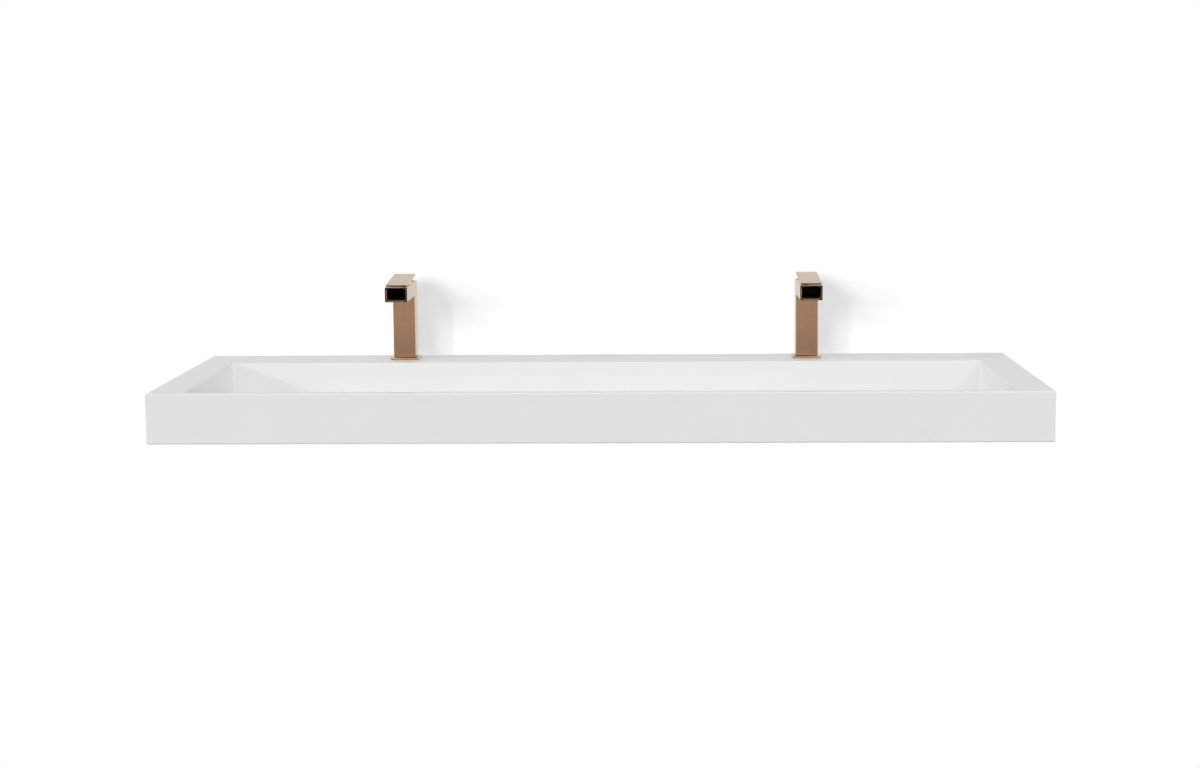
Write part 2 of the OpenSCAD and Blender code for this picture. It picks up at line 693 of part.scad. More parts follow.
trough();
bracket(bracket_xs[0], left);  // outer_left_bracket
bracket(bracket_xs[1], left);  // inner_left_bracket
bracket(bracket_xs[2], right);  // inner_right_bracket
bracket(bracket_xs[3], right);  // outer_right_bracket
cast_inserts();
arm_screws();
arm_washers();
base_gasket(left);  // left_base_gasket
base_plate(left);  // left_base_plate
faucet_body(left);  // left_faucet_body
cartridge_gasket(left);  // left_cartridge_gasket
cartridge_shell(left);  // left_cartridge_shell
fixed_disc(left);  // left_fixed_disc
moving_disc(left);  // left_moving_disc
disc_driver(left);  // left_disc_driver
stem_carrier(left);  // left_stem_carrier
pivot_pin(left);  // left_pivot_pin
stem(left);  // left_stem
cartridge_nut(left);  // left_cartridge_nut
bezel_ring(left);  // left_bezel_ring
lever(left);  // left_lever
grub_screw(left);  // left_grub_screw
shank(left);  // left_shank
shank_seal(left);  // left_shank_seal
shank_washer(left);  // left_shank_washer
shank_nut(left);  // left_shank_nut
strainer(left);  // left_strainer
strainer_gasket(left);  // left_strainer_gasket
drain_seal(left);  // left_drain_seal
drain_washer(left);  // left_drain_washer
drain_nut(left);  // left_drain_nut
tailpiece(left);  // left_tailpiece
base_gasket(right);  // right_base_gasket
base_plate(right);  // right_base_plate
faucet_body(right);  // right_faucet_body
cartridge_gasket(right);  // right_cartridge_gasket
cartridge_shell(right);  // right_cartridge_shell
fixed_disc(right);  // right_fixed_disc
moving_disc(right);  // right_moving_disc
disc_driver(right);  // right_disc_driver
stem_carrier(right);  // right_stem_carrier
pivot_pin(right);  // right_pivot_pin
stem(right);  // right_stem
cartridge_nut(right);  // right_cartridge_nut
bezel_ring(right);  // right_bezel_ring
lever(right);  // right_lever
grub_screw(right);  // right_grub_screw
shank(right);  // right_shank
shank_seal(right);  // right_shank_seal
shank_washer(right);  // right_shank_washer
shank_nut(right);  // right_shank_nut
strainer(right);  // right_strainer
strainer_gasket(right);  // right_strainer_gasket
drain_seal(right);  // right_drain_seal
drain_washer(right);  // right_drain_washer
drain_nut(right);  // right_drain_nut
tailpiece(right);  // right_tailpiece
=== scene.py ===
# %% [markdown]
# # A wall-hung trough sink with two square mixers
#
# The sink is a single casting of white solid surface, hung on steel brackets. Two rose-gold
# mixers stand on its deck, and two strainers sit in its floor. This lesson dresses the packed
# CAD model: the large visible pieces are modelled again with soft edges, and the small ones
# keep their CAD shape and get a finish of their own. Everything is in metres, with +X to the
# right, +Y into the wall, +Z up and the origin at the middle of the wall bolts.

# %% Load the frame
import math

import bmesh
import bpy
from mathutils import Matrix, Vector


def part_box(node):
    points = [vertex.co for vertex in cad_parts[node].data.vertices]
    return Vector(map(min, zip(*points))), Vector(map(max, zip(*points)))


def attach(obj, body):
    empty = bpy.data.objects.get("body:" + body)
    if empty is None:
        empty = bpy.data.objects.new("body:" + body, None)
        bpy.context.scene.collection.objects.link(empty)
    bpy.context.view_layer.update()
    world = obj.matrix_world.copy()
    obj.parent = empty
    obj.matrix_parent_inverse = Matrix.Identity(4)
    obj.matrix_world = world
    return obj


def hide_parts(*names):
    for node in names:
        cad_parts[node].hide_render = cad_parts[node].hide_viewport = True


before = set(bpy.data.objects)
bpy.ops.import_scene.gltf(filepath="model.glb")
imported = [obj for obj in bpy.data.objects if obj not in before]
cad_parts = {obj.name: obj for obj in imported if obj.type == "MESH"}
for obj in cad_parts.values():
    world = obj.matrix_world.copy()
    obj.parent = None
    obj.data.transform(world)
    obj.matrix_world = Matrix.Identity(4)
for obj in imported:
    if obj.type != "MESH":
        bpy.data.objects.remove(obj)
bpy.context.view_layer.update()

# %% [markdown]
# ## The camera
#
# The photograph was taken from about 4 m in front of the wall, half a metre above the wall
# bolts, looking slightly down and slightly to the left. A camera could be aimed with a Track
# To constraint, but three small angles set it exactly and leave nothing live in the file.

# %% The camera
CAMERA_PLACE = Vector((0.1079, -4.0962, 0.5560))
CAMERA_YAW = -0.0294  # in radians, like the other two
CAMERA_PITCH = -0.1283
CAMERA_ROLL = -0.0074
CAMERA_LENS_MM = 64.125
SENSOR_MM = 36
camera_data = bpy.data.cameras.new("photo_camera")
camera_data.sensor_width = SENSOR_MM
camera_data.lens = CAMERA_LENS_MM
camera = bpy.data.objects.new("photo_camera", camera_data)
camera.matrix_world = (
    Matrix.Translation(CAMERA_PLACE) @ Matrix.Rotation(-CAMERA_YAW, 4, "Z")
    @ Matrix.Rotation(math.pi / 2 + CAMERA_PITCH, 4, "X") @ Matrix.Rotation(CAMERA_ROLL, 4, "Z"))
bpy.context.scene.collection.objects.link(camera)
bpy.context.scene.camera = camera
print("camera at", tuple(round(v, 3) for v in camera.location))

# %% [markdown]
# ## Tools for the workbench
#
# Every piece starts as a primitive at its size and place. Faces and edges are then picked in
# code, by where they are and which way they point, and shaped with the same operators that a
# hand would use in edit mode. These helpers do the picking and the tidy end of each piece.

# %% Start a box and pick parts of it
HAIR = 1e-5  # two places closer than this are the same place
SHARP = 1.0  # the least fold, in radians, of an edge that gets a radius
FACING = 0.9  # the least part of a normal along the axis that its face looks along
LEVEL = 0.99  # the same, for a face that looks exactly along it
SIDES = {"left": -1, "right": 1}
AXES = {"Y": (Vector((0, 1, 0)), (-math.pi / 2, 0, 0)), "Z": (Vector((0, 0, 1)), (0, 0, 0))}


def start_box(name, low, high):
    """A cube primitive stretched between two corners, with its place applied to its mesh."""
    low, high = Vector(low), Vector(high)
    bpy.ops.mesh.primitive_cube_add(size=1, location=(low + high) / 2)
    piece = bpy.context.object
    piece.name = name
    piece.scale = high - low
    bpy.ops.object.transform_apply()
    return piece


def start_rod(name, low, height, radius, axis="Z", sides=64):
    """A cylinder primitive that rises from the middle of its lower end along an axis."""
    along, turn = AXES[axis]
    bpy.ops.mesh.primitive_cylinder_add(vertices=sides, radius=radius, depth=height,
                                        location=Vector(low) + along * height / 2, rotation=turn)
    piece = bpy.context.object
    piece.name = name
    bpy.ops.object.transform_apply()
    return piece


def choose(piece):
    """Makes one piece the only selected one and the active one."""
    bpy.ops.object.select_all(action="DESELECT")
    piece.select_set(True)
    bpy.context.view_layer.objects.active = piece


def edit(piece):
    """Opens one piece in edit mode with nothing selected."""
    choose(piece)
    bpy.ops.object.mode_set(mode="EDIT")
    bpy.ops.mesh.select_all(action="DESELECT")


def close_edit():
    bpy.ops.object.mode_set(mode="OBJECT")


def pick(piece, kind, wanted):
    """Selects only the faces or edges that are wanted, and counts them."""
    bpy.ops.mesh.select_mode(type=kind)
    bpy.ops.mesh.select_all(action="DESELECT")
    mesh = bmesh.from_edit_mesh(piece.data)
    found = [part for part in {"FACE": mesh.faces, "EDGE": mesh.edges}[kind] if wanted(part)]
    for part in found:
        part.select_set(True)
    bmesh.update_edit_mesh(piece.data)
    return len(found)


def pick_faces(piece, test):
    """Picks the faces whose middle and normal pass a test."""
    return pick(piece, "FACE", lambda face: test(face.calc_center_median(), face.normal))


def pick_edges(piece, test, fold=0):
    """Picks the edges that fold this much or more and whose two ends pass a test."""
    return pick(piece, "EDGE", lambda edge: edge.calc_face_angle(0) >= fold
                and test(edge.verts[0].co, edge.verts[1].co))


def round_edges(piece, radius, steps, test, fold=SHARP):
    """Bevels the edges that fold and pass a test, and counts them."""
    edit(piece)
    count = pick_edges(piece, test, fold)
    if count:
        bpy.ops.mesh.bevel(offset=radius, segments=steps)
    close_edit()
    return count


def near(a, b):
    return abs(a - b) < HAIR


def at_z(place, z):
    """The point over or under a place at this height."""
    return Vector((place.x, place.y, z))


def upright(a, b):
    """A test for edges that aren't level."""
    return not near(a.z, b.z)


def at_height(z):
    """Makes a test for the edges at one height."""
    return lambda a, b: near(a.z, z) and near(b.z, z)


print("workbench ready")

# %% Cut, join, copy and smooth
def apply_modifier(piece, modifier):
    bpy.context.view_layer.objects.active = piece
    bpy.ops.object.modifier_apply(modifier=modifier.name)


def combine(piece, other, operation):
    """Cuts another piece out of this one, or fuses it on, and uses the other piece up."""
    boolean = piece.modifiers.new(operation.lower(), "BOOLEAN")
    boolean.operation = operation
    boolean.solver = "EXACT"
    boolean.object = other
    apply_modifier(piece, boolean)
    bpy.data.objects.remove(other)


def join(pieces, name):
    """Makes several pieces one object, without fusing them."""
    bpy.ops.object.select_all(action="DESELECT")
    for piece in pieces:
        piece.select_set(True)
    bpy.context.view_layer.objects.active = pieces[0]
    bpy.ops.object.join()
    pieces[0].name = name
    return pieces[0]


def copy_piece(piece, name, shift):
    """A copy with its own mesh, moved in the mesh itself."""
    choose(piece)
    bpy.ops.object.duplicate(linked=False)
    twin = bpy.context.object
    twin.name = name
    twin.location = shift
    bpy.ops.object.transform_apply()
    return twin


def report(piece):
    """Prints a piece's size, its triangles and the edges that don't close."""
    mesh = bmesh.new()
    mesh.from_mesh(piece.data)
    open_edges = sum(not e.is_manifold for e in mesh.edges)
    triangles = sum(len(f.verts) - 2 for f in mesh.faces)
    mesh.free()
    size = " x ".join(f"{1000 * d:.1f}" for d in piece.dimensions)
    print(f"{piece.name}: {size} mm, {triangles} triangles, {open_edges} open edges")


def smooth(piece, fold=35):
    """Ends a piece: rounds its shading over small folds, in degrees, and keeps broad faces flat."""
    choose(piece)
    bpy.ops.object.shade_smooth_by_angle(angle=math.radians(fold))
    weighted = piece.modifiers.new("broad_faces_flat", "WEIGHTED_NORMAL")
    weighted.weight = 100
    weighted.keep_sharp = True
    apply_modifier(piece, weighted)
    report(piece)

# %% [markdown]
# ## The trough
#
# The real trough is poured in a mould, so it is one skin: a deck, rims, a front face and a
# basin, hollow below. A boolean of two boxes would give the basin quickly, but its edges would
# be hard to round afterwards. Here the basin is inset and extruded from the top face of the
# slab, so that every edge is still a simple one when it gets its radius.

# %% The slab and its basin
slab_low, slab_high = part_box("trough")
RIM_Z = slab_high.z
EDGE_R = 0.0025
FRONT_RIM = 0.019
SIDE_RIM = 0.0626
DECK_DEPTH = 0.124
BASIN_DEPTH = 0.060
CORNER_R = 0.002
BASIN_LIP_R = 0.0018
BASIN_FOOT_R = 0.0016
basin_x = slab_high.x - SIDE_RIM
basin_front = slab_low.y + FRONT_RIM
basin_back = slab_high.y - DECK_DEPTH
floor_z = RIM_Z - BASIN_DEPTH


def fit_picked(piece, low, high):
    """Stretches and moves what is picked until it fills the box between two corners."""
    mesh = bmesh.from_edit_mesh(piece.data)
    picked = [v.co for v in mesh.verts if v.select]
    was_low = Vector([min(c[i] for c in picked) for i in range(3)])
    was_high = Vector([max(c[i] for c in picked) for i in range(3)])
    was = was_high - was_low
    ratio = [(high[i] - low[i]) / was[i] if was[i] > HAIR else 1 for i in range(3)]
    bpy.ops.transform.resize(value=ratio, center_override=was_low)
    bpy.ops.transform.translate(value=Vector(low) - was_low)


def extrude(shift):
    bpy.ops.mesh.extrude_region_move(TRANSFORM_OT_translate={"value": shift})


def slice_all(place, normal, **options):
    """Cuts the whole piece in edit mode by a plane."""
    bpy.ops.mesh.select_all(action="SELECT")
    bpy.ops.mesh.bisect(plane_co=place, plane_no=normal, **options)


trough = start_box("trough_casting", slab_low, slab_high)
round_edges(trough, EDGE_R, 4, lambda a, b: min(a.y, b.y) < slab_high.y - HAIR)
edit(trough)
pick_faces(trough, lambda middle, normal: near(middle.z, RIM_Z))
bpy.ops.mesh.inset(thickness=FRONT_RIM)
fit_picked(trough, (-basin_x, basin_front, RIM_Z), (basin_x, basin_back, RIM_Z))
extrude((0, 0, -BASIN_DEPTH))
close_edit()
round_edges(trough, CORNER_R, 6,
            lambda a, b: near(abs(a.x), basin_x) and near(a.x, b.x) and near(a.y, b.y))
round_edges(trough, BASIN_LIP_R, 4, lambda a, b: min(a.z, b.z) > RIM_Z - HAIR and a.y < -EDGE_R)
round_edges(trough, BASIN_FOOT_R, 4, at_height(floor_z))
report(trough)

# %% [markdown]
# Each half of the basin floor falls on all sides to its own drain. The floor face is split
# down the middle, a ring is laid at the drain's level, and the skin between the outline and
# the ring is the lower side of their convex hull. A sculpted floor would look alike, but would
# not be flat between its creases.

# %% The falling floor
FLOOR_FALL = 0.008
DRAIN_LANDING = 0.004
MERGE = 0.0008  # the basin's corners come to a point where the floor starts
drain_z = floor_z - FLOOR_FALL


def middle_of(node):
    low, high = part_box(node)
    return (low + high) / 2


strainer_low, strainer_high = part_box("left_strainer")
FLANGE_R = (strainer_high.x - strainer_low.x) / 2
DRAINS = {side_name: middle_of(f"{side_name}_strainer") for side_name in SIDES}


def fall_to_drain(piece, side, drain):
    """Replaces one half of the flat floor by faces that fall to its drain."""
    def on_side(place):
        return place.x * side > -HAIR

    edit(piece)
    pick_faces(piece, lambda middle, normal: normal.z > LEVEL and near(middle.z, floor_z)
               and on_side(middle))
    bpy.ops.mesh.delete(type="ONLY_FACE")
    bpy.ops.mesh.primitive_circle_add(vertices=48, radius=FLANGE_R + DRAIN_LANDING,
                                      location=at_z(drain, drain_z))
    bpy.ops.mesh.select_mode(type="VERT")
    mesh = bmesh.from_edit_mesh(piece.data)
    for vert in mesh.verts:
        on_floor = near(vert.co.z, floor_z) or near(vert.co.z, drain_z)
        vert.select_set(on_floor and on_side(vert.co))
    mesh.select_flush_mode()
    bmesh.update_edit_mesh(piece.data)
    bpy.ops.mesh.remove_doubles(threshold=MERGE)
    bpy.ops.mesh.convex_hull(delete_unused=False, use_existing_faces=False, join_triangles=True)
    pick_faces(piece, lambda middle, normal: abs(normal.z) > LEVEL and near(middle.z, floor_z)
               and on_side(middle))
    bpy.ops.mesh.delete(type="FACE")
    close_edit()


edit(trough)
pick_faces(trough, lambda middle, normal: normal.z > LEVEL and near(middle.z, floor_z))
bpy.ops.mesh.bisect(plane_co=(0, 0, floor_z), plane_no=(1, 0, 0))
close_edit()
for side_name, side in SIDES.items():
    fall_to_drain(trough, side, DRAINS[side_name])
edit(trough)
bpy.ops.mesh.select_all(action="SELECT")
bpy.ops.mesh.normals_make_consistent(inside=False)
close_edit()
report(trough)

# %% [markdown]
# Below the deck and the side rims the casting is hollow, and open towards the wall. That space
# is made as a piece of its own and then cut away, as by a mould's core: one U-shaped step, with
# round upper edges, because cast corners are never sharp.

# %% The hollow underside
SHELL_T = 0.012
FLOOR_T = 0.012
HOLLOW_R = 0.005
PAST = 0.02  # how far a cutter runs past what it cuts
floor_under_z = drain_z - FLOOR_T
deck_under_z = RIM_Z - SHELL_T
hollow_x = slab_high.x - SHELL_T
basin_wall_x = basin_x + SHELL_T
basin_wall_y = basin_back + SHELL_T
hollow = start_box("hollow", (-hollow_x, basin_front, slab_low.z - PAST),
                   (hollow_x, PAST, floor_under_z))
edit(hollow)
for place, normal in (((basin_wall_x, 0, 0), (1, 0, 0)), ((-basin_wall_x, 0, 0), (1, 0, 0)),
                      ((0, basin_wall_y, 0), (0, 1, 0))):
    slice_all(place, normal)
pick_faces(hollow, lambda middle, normal: near(middle.z, floor_under_z)
           and (abs(middle.x) > basin_wall_x or middle.y > basin_wall_y))
extrude((0, 0, deck_under_z - floor_under_z))
close_edit()
round_edges(hollow, HOLLOW_R, 4, at_height(deck_under_z))
combine(trough, hollow, "DIFFERENCE")
report(trough)

# %% The holes
DECK_HOLE_R = 0.0175
DRAIN_HOLE_R = 0.0225
RECESS_R = FLANGE_R + 0.0005
RECESS_DEPTH = 0.004
INSERT_R = 0.0065
INSERT_LEN = 0.010
SCREW_FROM_TIP = 0.030
REAR_SCREW_Y = -0.150
BRACKETS = ("outer_left_bracket", "inner_left_bracket",
            "inner_right_bracket", "outer_right_bracket")
SOFT_EDGE = 0.0006


def drill(piece, low, height, radius, axis="Z", sides=64):
    combine(piece, start_rod("drill", low, height, radius, axis, sides), "DIFFERENCE")


def arm_screws(node):
    """Where a bracket's arm is screwed to the trough: near its tip and near the wall."""
    low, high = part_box(node)
    return [Vector(((low.x + high.x) / 2, y, floor_under_z))
            for y in (low.y + SCREW_FROM_TIP, REAR_SCREW_Y)]


for side_name in SIDES:
    shank_place = middle_of(f"{side_name}_shank")
    drain_place = DRAINS[side_name]
    drill(trough, at_z(shank_place, deck_under_z - PAST),
          SHELL_T + 2 * PAST, DECK_HOLE_R)
    drill(trough, at_z(drain_place, floor_under_z - PAST),
          FLOOR_T + 2 * PAST, DRAIN_HOLE_R)
    drill(trough, at_z(drain_place, drain_z - RECESS_DEPTH),
          RECESS_DEPTH + PAST, RECESS_R)
for node in BRACKETS:
    for place in arm_screws(node):
        drill(trough, place - Vector((0, 0, PAST)), INSERT_LEN + PAST, INSERT_R, sides=32)


def on_recess(point):
    """True on the upper edge of one of the two recesses for the strainers."""
    reach = min((point.xy - drain_place.xy).length for drain_place in DRAINS.values())
    return near(point.z, drain_z) and abs(reach - RECESS_R) < SOFT_EDGE


round_edges(trough, SOFT_EDGE, 2, lambda a, b: on_recess(a) and on_recess(b))
smooth(trough)

# %% [markdown]
# ## The mixers
#
# Each mixer is a square brass column with a box spout. The spout is a long thin-walled tube,
# open at its front, so that the water is seen as it runs over the floor of the channel. The
# left mixer is modelled once, and its copy becomes the right one.

# %% The body and its open spout
COLUMN_R = 0.0008
SPOUT_H = 0.028
SPOUT_R = 0.0027
SPOUT_SIDE_T = 0.003
SPOUT_FLOOR_T = 0.0025
SPOUT_ROOF_T = 0.002
CHANNEL_R = 0.004
GROOVE_H = 0.0012
GROOVE_D = 0.0015
LIP_R = 0.0005
body_low, body_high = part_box("left_faucet_body")
plate_low, plate_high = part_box("left_base_plate")
faucet = at_z(middle_of("left_shank"), RIM_Z)
column_half = (body_high.x - body_low.x) / 2
spout_under_z = body_high.z - SPOUT_H
column_front = faucet.y - column_half


def along_spout(a, b):
    return not near(a.y, b.y)


def at_mouth(a, b):
    return near(a.y, body_low.y) and near(b.y, body_low.y)


body = start_box("left_mixer_body", (body_low.x, column_front, plate_high.z + GROOVE_H),
                 (body_high.x, body_high.y, spout_under_z + SPOUT_H / 2))
round_edges(body, COLUMN_R, 3, upright)
foot = start_box("foot", (body_low.x + GROOVE_D, column_front + GROOVE_D, plate_high.z),
                 (body_high.x - GROOVE_D, body_high.y - GROOVE_D, plate_high.z + 2 * GROOVE_H))
round_edges(foot, COLUMN_R, 3, upright)
combine(body, foot, "UNION")
spout = start_box("spout", (body_low.x, body_low.y, spout_under_z), body_high)
round_edges(spout, SPOUT_R, 6, along_spout)
combine(body, spout, "UNION")
channel = start_box("channel",
                    (body_low.x + SPOUT_SIDE_T, body_low.y - PAST, spout_under_z + SPOUT_FLOOR_T),
                    (body_high.x - SPOUT_SIDE_T, column_front, body_high.z - SPOUT_ROOF_T))
round_edges(channel, CHANNEL_R, 6, along_spout)
combine(body, channel, "DIFFERENCE")
print("lip edges", round_edges(body, LIP_R, 3, at_mouth))
report(body)

# %% [markdown]
# The water comes up by two narrow ways from the hose inlets, through the cartridge in its round
# chamber, and out by a port into the channel. These are bored one by one, although only the
# port can be seen.

# %% Bore the body
CHAMBER_R = 0.018
CHAMBER_DEPTH = 0.0385
PORT_W = 0.014
PORT_H = 0.006
SOCKET_R = 0.01605
SOCKET_DEPTH = 0.013
INLET_R = 0.005
INLET_DEPTH = 0.010
INLET_PITCH = 0.0136
WATER_WAY_R = 0.003
channel_floor_z = spout_under_z + SPOUT_FLOOR_T
chamber_floor_z = body_high.z - CHAMBER_DEPTH
socket_top_z = plate_high.z + SOCKET_DEPTH
drill(body, at_z(faucet, chamber_floor_z), CHAMBER_DEPTH + PAST, CHAMBER_R, sides=96)
port = start_box("port", (faucet.x - PORT_W / 2, column_front - HAIR, channel_floor_z),
                 (faucet.x + PORT_W / 2, faucet.y - CHAMBER_R / 2, channel_floor_z + PORT_H))
combine(body, port, "DIFFERENCE")
drill(body, at_z(faucet, plate_high.z - PAST), SOCKET_DEPTH + PAST, SOCKET_R)
for side in SIDES.values():
    inlet_x = faucet.x + side * INLET_PITCH / 2
    drill(body, (inlet_x, faucet.y, socket_top_z - HAIR), INLET_DEPTH, INLET_R, sides=32)
    drill(body, (inlet_x, faucet.y, socket_top_z + INLET_DEPTH / 2),
          chamber_floor_z - socket_top_z, WATER_WAY_R, sides=24)
report(body)

# %% [markdown]
# A piece can carry more than one finish. The outside is plated and polished. Inside the channel,
# and on the groove at the column's foot, the faces are painted near black as painted shade. A
# strip of the channel's floor at the mouth is plated, less smooth and painted lighter, as a
# painted highlight, and the mouth's front lip is painted near black as painted shade. The faces
# are told apart by where they are.

# %% Mark the faces with painted shade and with a painted highlight
# Material numbers for the painted shade in the recesses, the painted highlight on the floor strip
# and the painted shade on the lip
SHADE_IN_RECESSES, HIGHLIGHT_ON_FLOOR, SHADE_ON_LIP = 1, 2, 3  # the outside keeps number 0
# The depth of the floor strip at the mouth that gets a painted highlight
HIGHLIGHT_STRIP = 0.012
GROOVE_FACING = 0.5  # the most that a wall of the groove looks up or down


def mark_faces(piece, number, test):
    """Gives the faces that pass a test the material with this number."""
    found = [p for p in piece.data.polygons if test(Vector(p.center), Vector(p.normal))]
    for polygon in found:
        polygon.material_index = number
    return len(found)


def in_channel(place):
    return (abs(place.x - faucet.x) < column_half - SPOUT_SIDE_T + HAIR
            and body_low.y + LIP_R < place.y < column_front + HAIR
            and channel_floor_z - HAIR < place.z < body_high.z - SPOUT_ROOF_T + HAIR)


strip_y = body_low.y + HIGHLIGHT_STRIP
groove_top_z = plate_high.z + GROOVE_H
edit(body)
pick_faces(body, lambda middle, normal: in_channel(middle) and normal.z > FACING)
bpy.ops.mesh.bisect(plane_co=(0, strip_y, 0), plane_no=(0, 1, 0))
close_edit()
# Every face inside the channel gets painted shade, near black
shade_faces = mark_faces(body, SHADE_IN_RECESSES, lambda middle, normal: in_channel(middle))
# The floor strip at the mouth gets a painted highlight: a lighter tone on a rougher surface
highlighted = mark_faces(body, HIGHLIGHT_ON_FLOOR, lambda middle, normal: in_channel(middle)
                 and normal.z > FACING and middle.y < strip_y)
# The walls of the groove at the foot get the same painted shade
groove = mark_faces(body, SHADE_IN_RECESSES, lambda middle, normal: middle.z < groove_top_z - HAIR
                    and abs(normal.z) < GROOVE_FACING)
# The mouth's front lip gets painted shade, near black
lip = mark_faces(body, SHADE_ON_LIP, lambda middle, normal: near(middle.y, body_low.y)
                 and normal.y < -LEVEL)
smooth(body)
# The second count is of the floor strip with the painted highlight
print(shade_faces, "faces in the channel,", highlighted, "of them wet floor,", groove, "groove,", lip, "lip")

# %% [markdown]
# The base plate spreads the mixer's weight over the hole in the deck. A dark groove parts it
# from the column, and its narrow chamfer catches the light as one bright line.

# %% The base plate
PLATE_CHAMFER = 0.001
PLATE_EDGE_R = 0.0002
SHANK_HOLE_R = 0.0165
CHAMFER_FOLD = 0.5  # less than the 45 degrees at a chamfer's edges, in radians
plate_w = plate_high.x - plate_low.x
plate = start_box("left_mixer_plate", plate_low, plate_high - Vector((0, 0, PLATE_CHAMFER)))
round_edges(plate, COLUMN_R, 3, upright)
edit(plate)
pick_faces(plate, lambda middle, normal: normal.z > FACING)
extrude((0, 0, PLATE_CHAMFER))
shrink = (plate_w - 2 * PLATE_CHAMFER) / plate_w
bpy.ops.transform.resize(value=(shrink, shrink, 1),
                         center_override=at_z(faucet, plate_high.z))
close_edit()
for z in (plate_high.z, plate_high.z - PLATE_CHAMFER):
    round_edges(plate, PLATE_EDGE_R, 2, at_height(z), CHAMFER_FOLD)
drill(plate, at_z(faucet, plate_low.z - PAST), 2 * PAST, SHANK_HOLE_R)
smooth(plate, fold=25)

# %% [markdown]
# The lever is a flat plate that dips towards the front and leaves a thin dark gap over the
# spout. It is modelled level and then turned about the lower front edge, and a round hub with
# a square socket joins it to the stem. The hub's screw goes in from behind.

# %% The lever
LEVER_W = 0.040
LEVER_T = 0.0024
LEVER_FRONT = 0.133
LEVER_BACK = 0.008
LEVER_GAP = 0.0008
LEVER_R = 0.002
LEVER_EDGE_R = 0.0004
LEVER_TILT = math.radians(4.2)
HUB_R = 0.007
HUB_RISE = 0.0051
STEM_W = 0.0068
STEM_D = 0.006
FIT_GAP = 0.00005
SEAT_GAP = 0.0002
GRUB_R = 0.002
lever_length = (LEVER_FRONT + LEVER_BACK) / math.cos(LEVER_TILT)
lever_front = Vector((faucet.x, faucet.y - LEVER_FRONT, body_high.z + LEVER_GAP))
lever = start_box("left_mixer_lever", lever_front - Vector((LEVER_W / 2, 0, 0)),
                  lever_front + Vector((LEVER_W / 2, lever_length, LEVER_T)))
round_edges(lever, LEVER_R, 5, upright)
round_edges(lever, LEVER_EDGE_R, 3, lambda a, b: not upright(a, b))
edit(lever)
bpy.ops.mesh.select_all(action="SELECT")
bpy.ops.transform.rotate(value=-LEVER_TILT, orient_axis="X", center_override=lever_front)
close_edit()
hub_bottom_z = body_high.z + HUB_RISE
hub_top_z = lever_front.z + LEVER_FRONT * math.tan(LEVER_TILT) + LEVER_T / 2
stem_top_z = hub_top_z - LEVER_T
hub = start_rod("hub", at_z(faucet, hub_bottom_z), hub_top_z - hub_bottom_z, HUB_R,
                sides=48)
round_edges(hub, LEVER_EDGE_R, 2, at_height(hub_bottom_z))
combine(lever, hub, "UNION")
stem_socket = start_box(
    "stem_socket",
    (faucet.x - STEM_W / 2 - FIT_GAP, faucet.y - STEM_D / 2 - FIT_GAP, hub_bottom_z - PAST),
    (faucet.x + STEM_W / 2 + FIT_GAP, faucet.y + STEM_D / 2 + FIT_GAP, stem_top_z + SEAT_GAP))
combine(lever, stem_socket, "DIFFERENCE")
drill(lever, at_z(faucet, (hub_bottom_z + stem_top_z) / 2), HUB_R + PAST, GRUB_R,
      axis="Y", sides=24)
LEVER_END, LEVER_UNDER = 1, 2
# The lever's underside gets painted shade: a much darker tone of the plate
mark_faces(lever, LEVER_UNDER, lambda middle, normal: normal.z < -FACING)
# The lever's front edge gets the same near-black painted shade
mark_faces(lever, LEVER_END, lambda middle, normal: normal.y < -FACING
           and middle.y < lever_front.y + LEVER_T)
smooth(lever)

# %% [markdown]
# The bezel is a turned ring round the stem, on a thin foot that covers the chamber's edge. A
# spun profile would also do, but insets on a disc give the same rings in three steps.

# %% The bezel ring
BEZEL_R = 0.017
BEZEL_IN_R = 0.0146
BEZEL_BORE_R = 0.010
BEZEL_FOOT_T = 0.0008
BEZEL_EDGE_R = 0.0003
bezel_low, bezel_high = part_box("left_bezel_ring")
bezel_foot_r = (bezel_high.x - bezel_low.x) / 2
bezel = start_rod("left_mixer_bezel", at_z(faucet, bezel_low.z), BEZEL_FOOT_T,
                  bezel_foot_r, sides=96)
edit(bezel)
pick_faces(bezel, lambda middle, normal: normal.z > FACING)
bpy.ops.mesh.inset(thickness=bezel_foot_r - BEZEL_R)
bpy.ops.mesh.inset(thickness=BEZEL_R - BEZEL_IN_R)
pick_faces(bezel, lambda middle, normal: normal.z > FACING
           and BEZEL_IN_R < (middle.xy - faucet.xy).length < BEZEL_R)
extrude((0, 0, bezel_high.z - bezel_low.z - BEZEL_FOOT_T))
close_edit()
drill(bezel, at_z(faucet, bezel_low.z - PAST), 2 * PAST, BEZEL_BORE_R)
round_edges(bezel, BEZEL_EDGE_R, 3, at_height(bezel_high.z))
smooth(bezel)

# %% [markdown]
# ## Threads and nuts
#
# The shank under the deck and the strainer's body are threaded from end to end. A thread is a
# ridge that climbs one pitch in each turn. So the rod is cut into rings, and each point moves
# in or out by its angle and height together, which gives a true thread with no boolean.

# %% A threaded tube
THREAD_RINGS = 4  # rings of points in one pitch


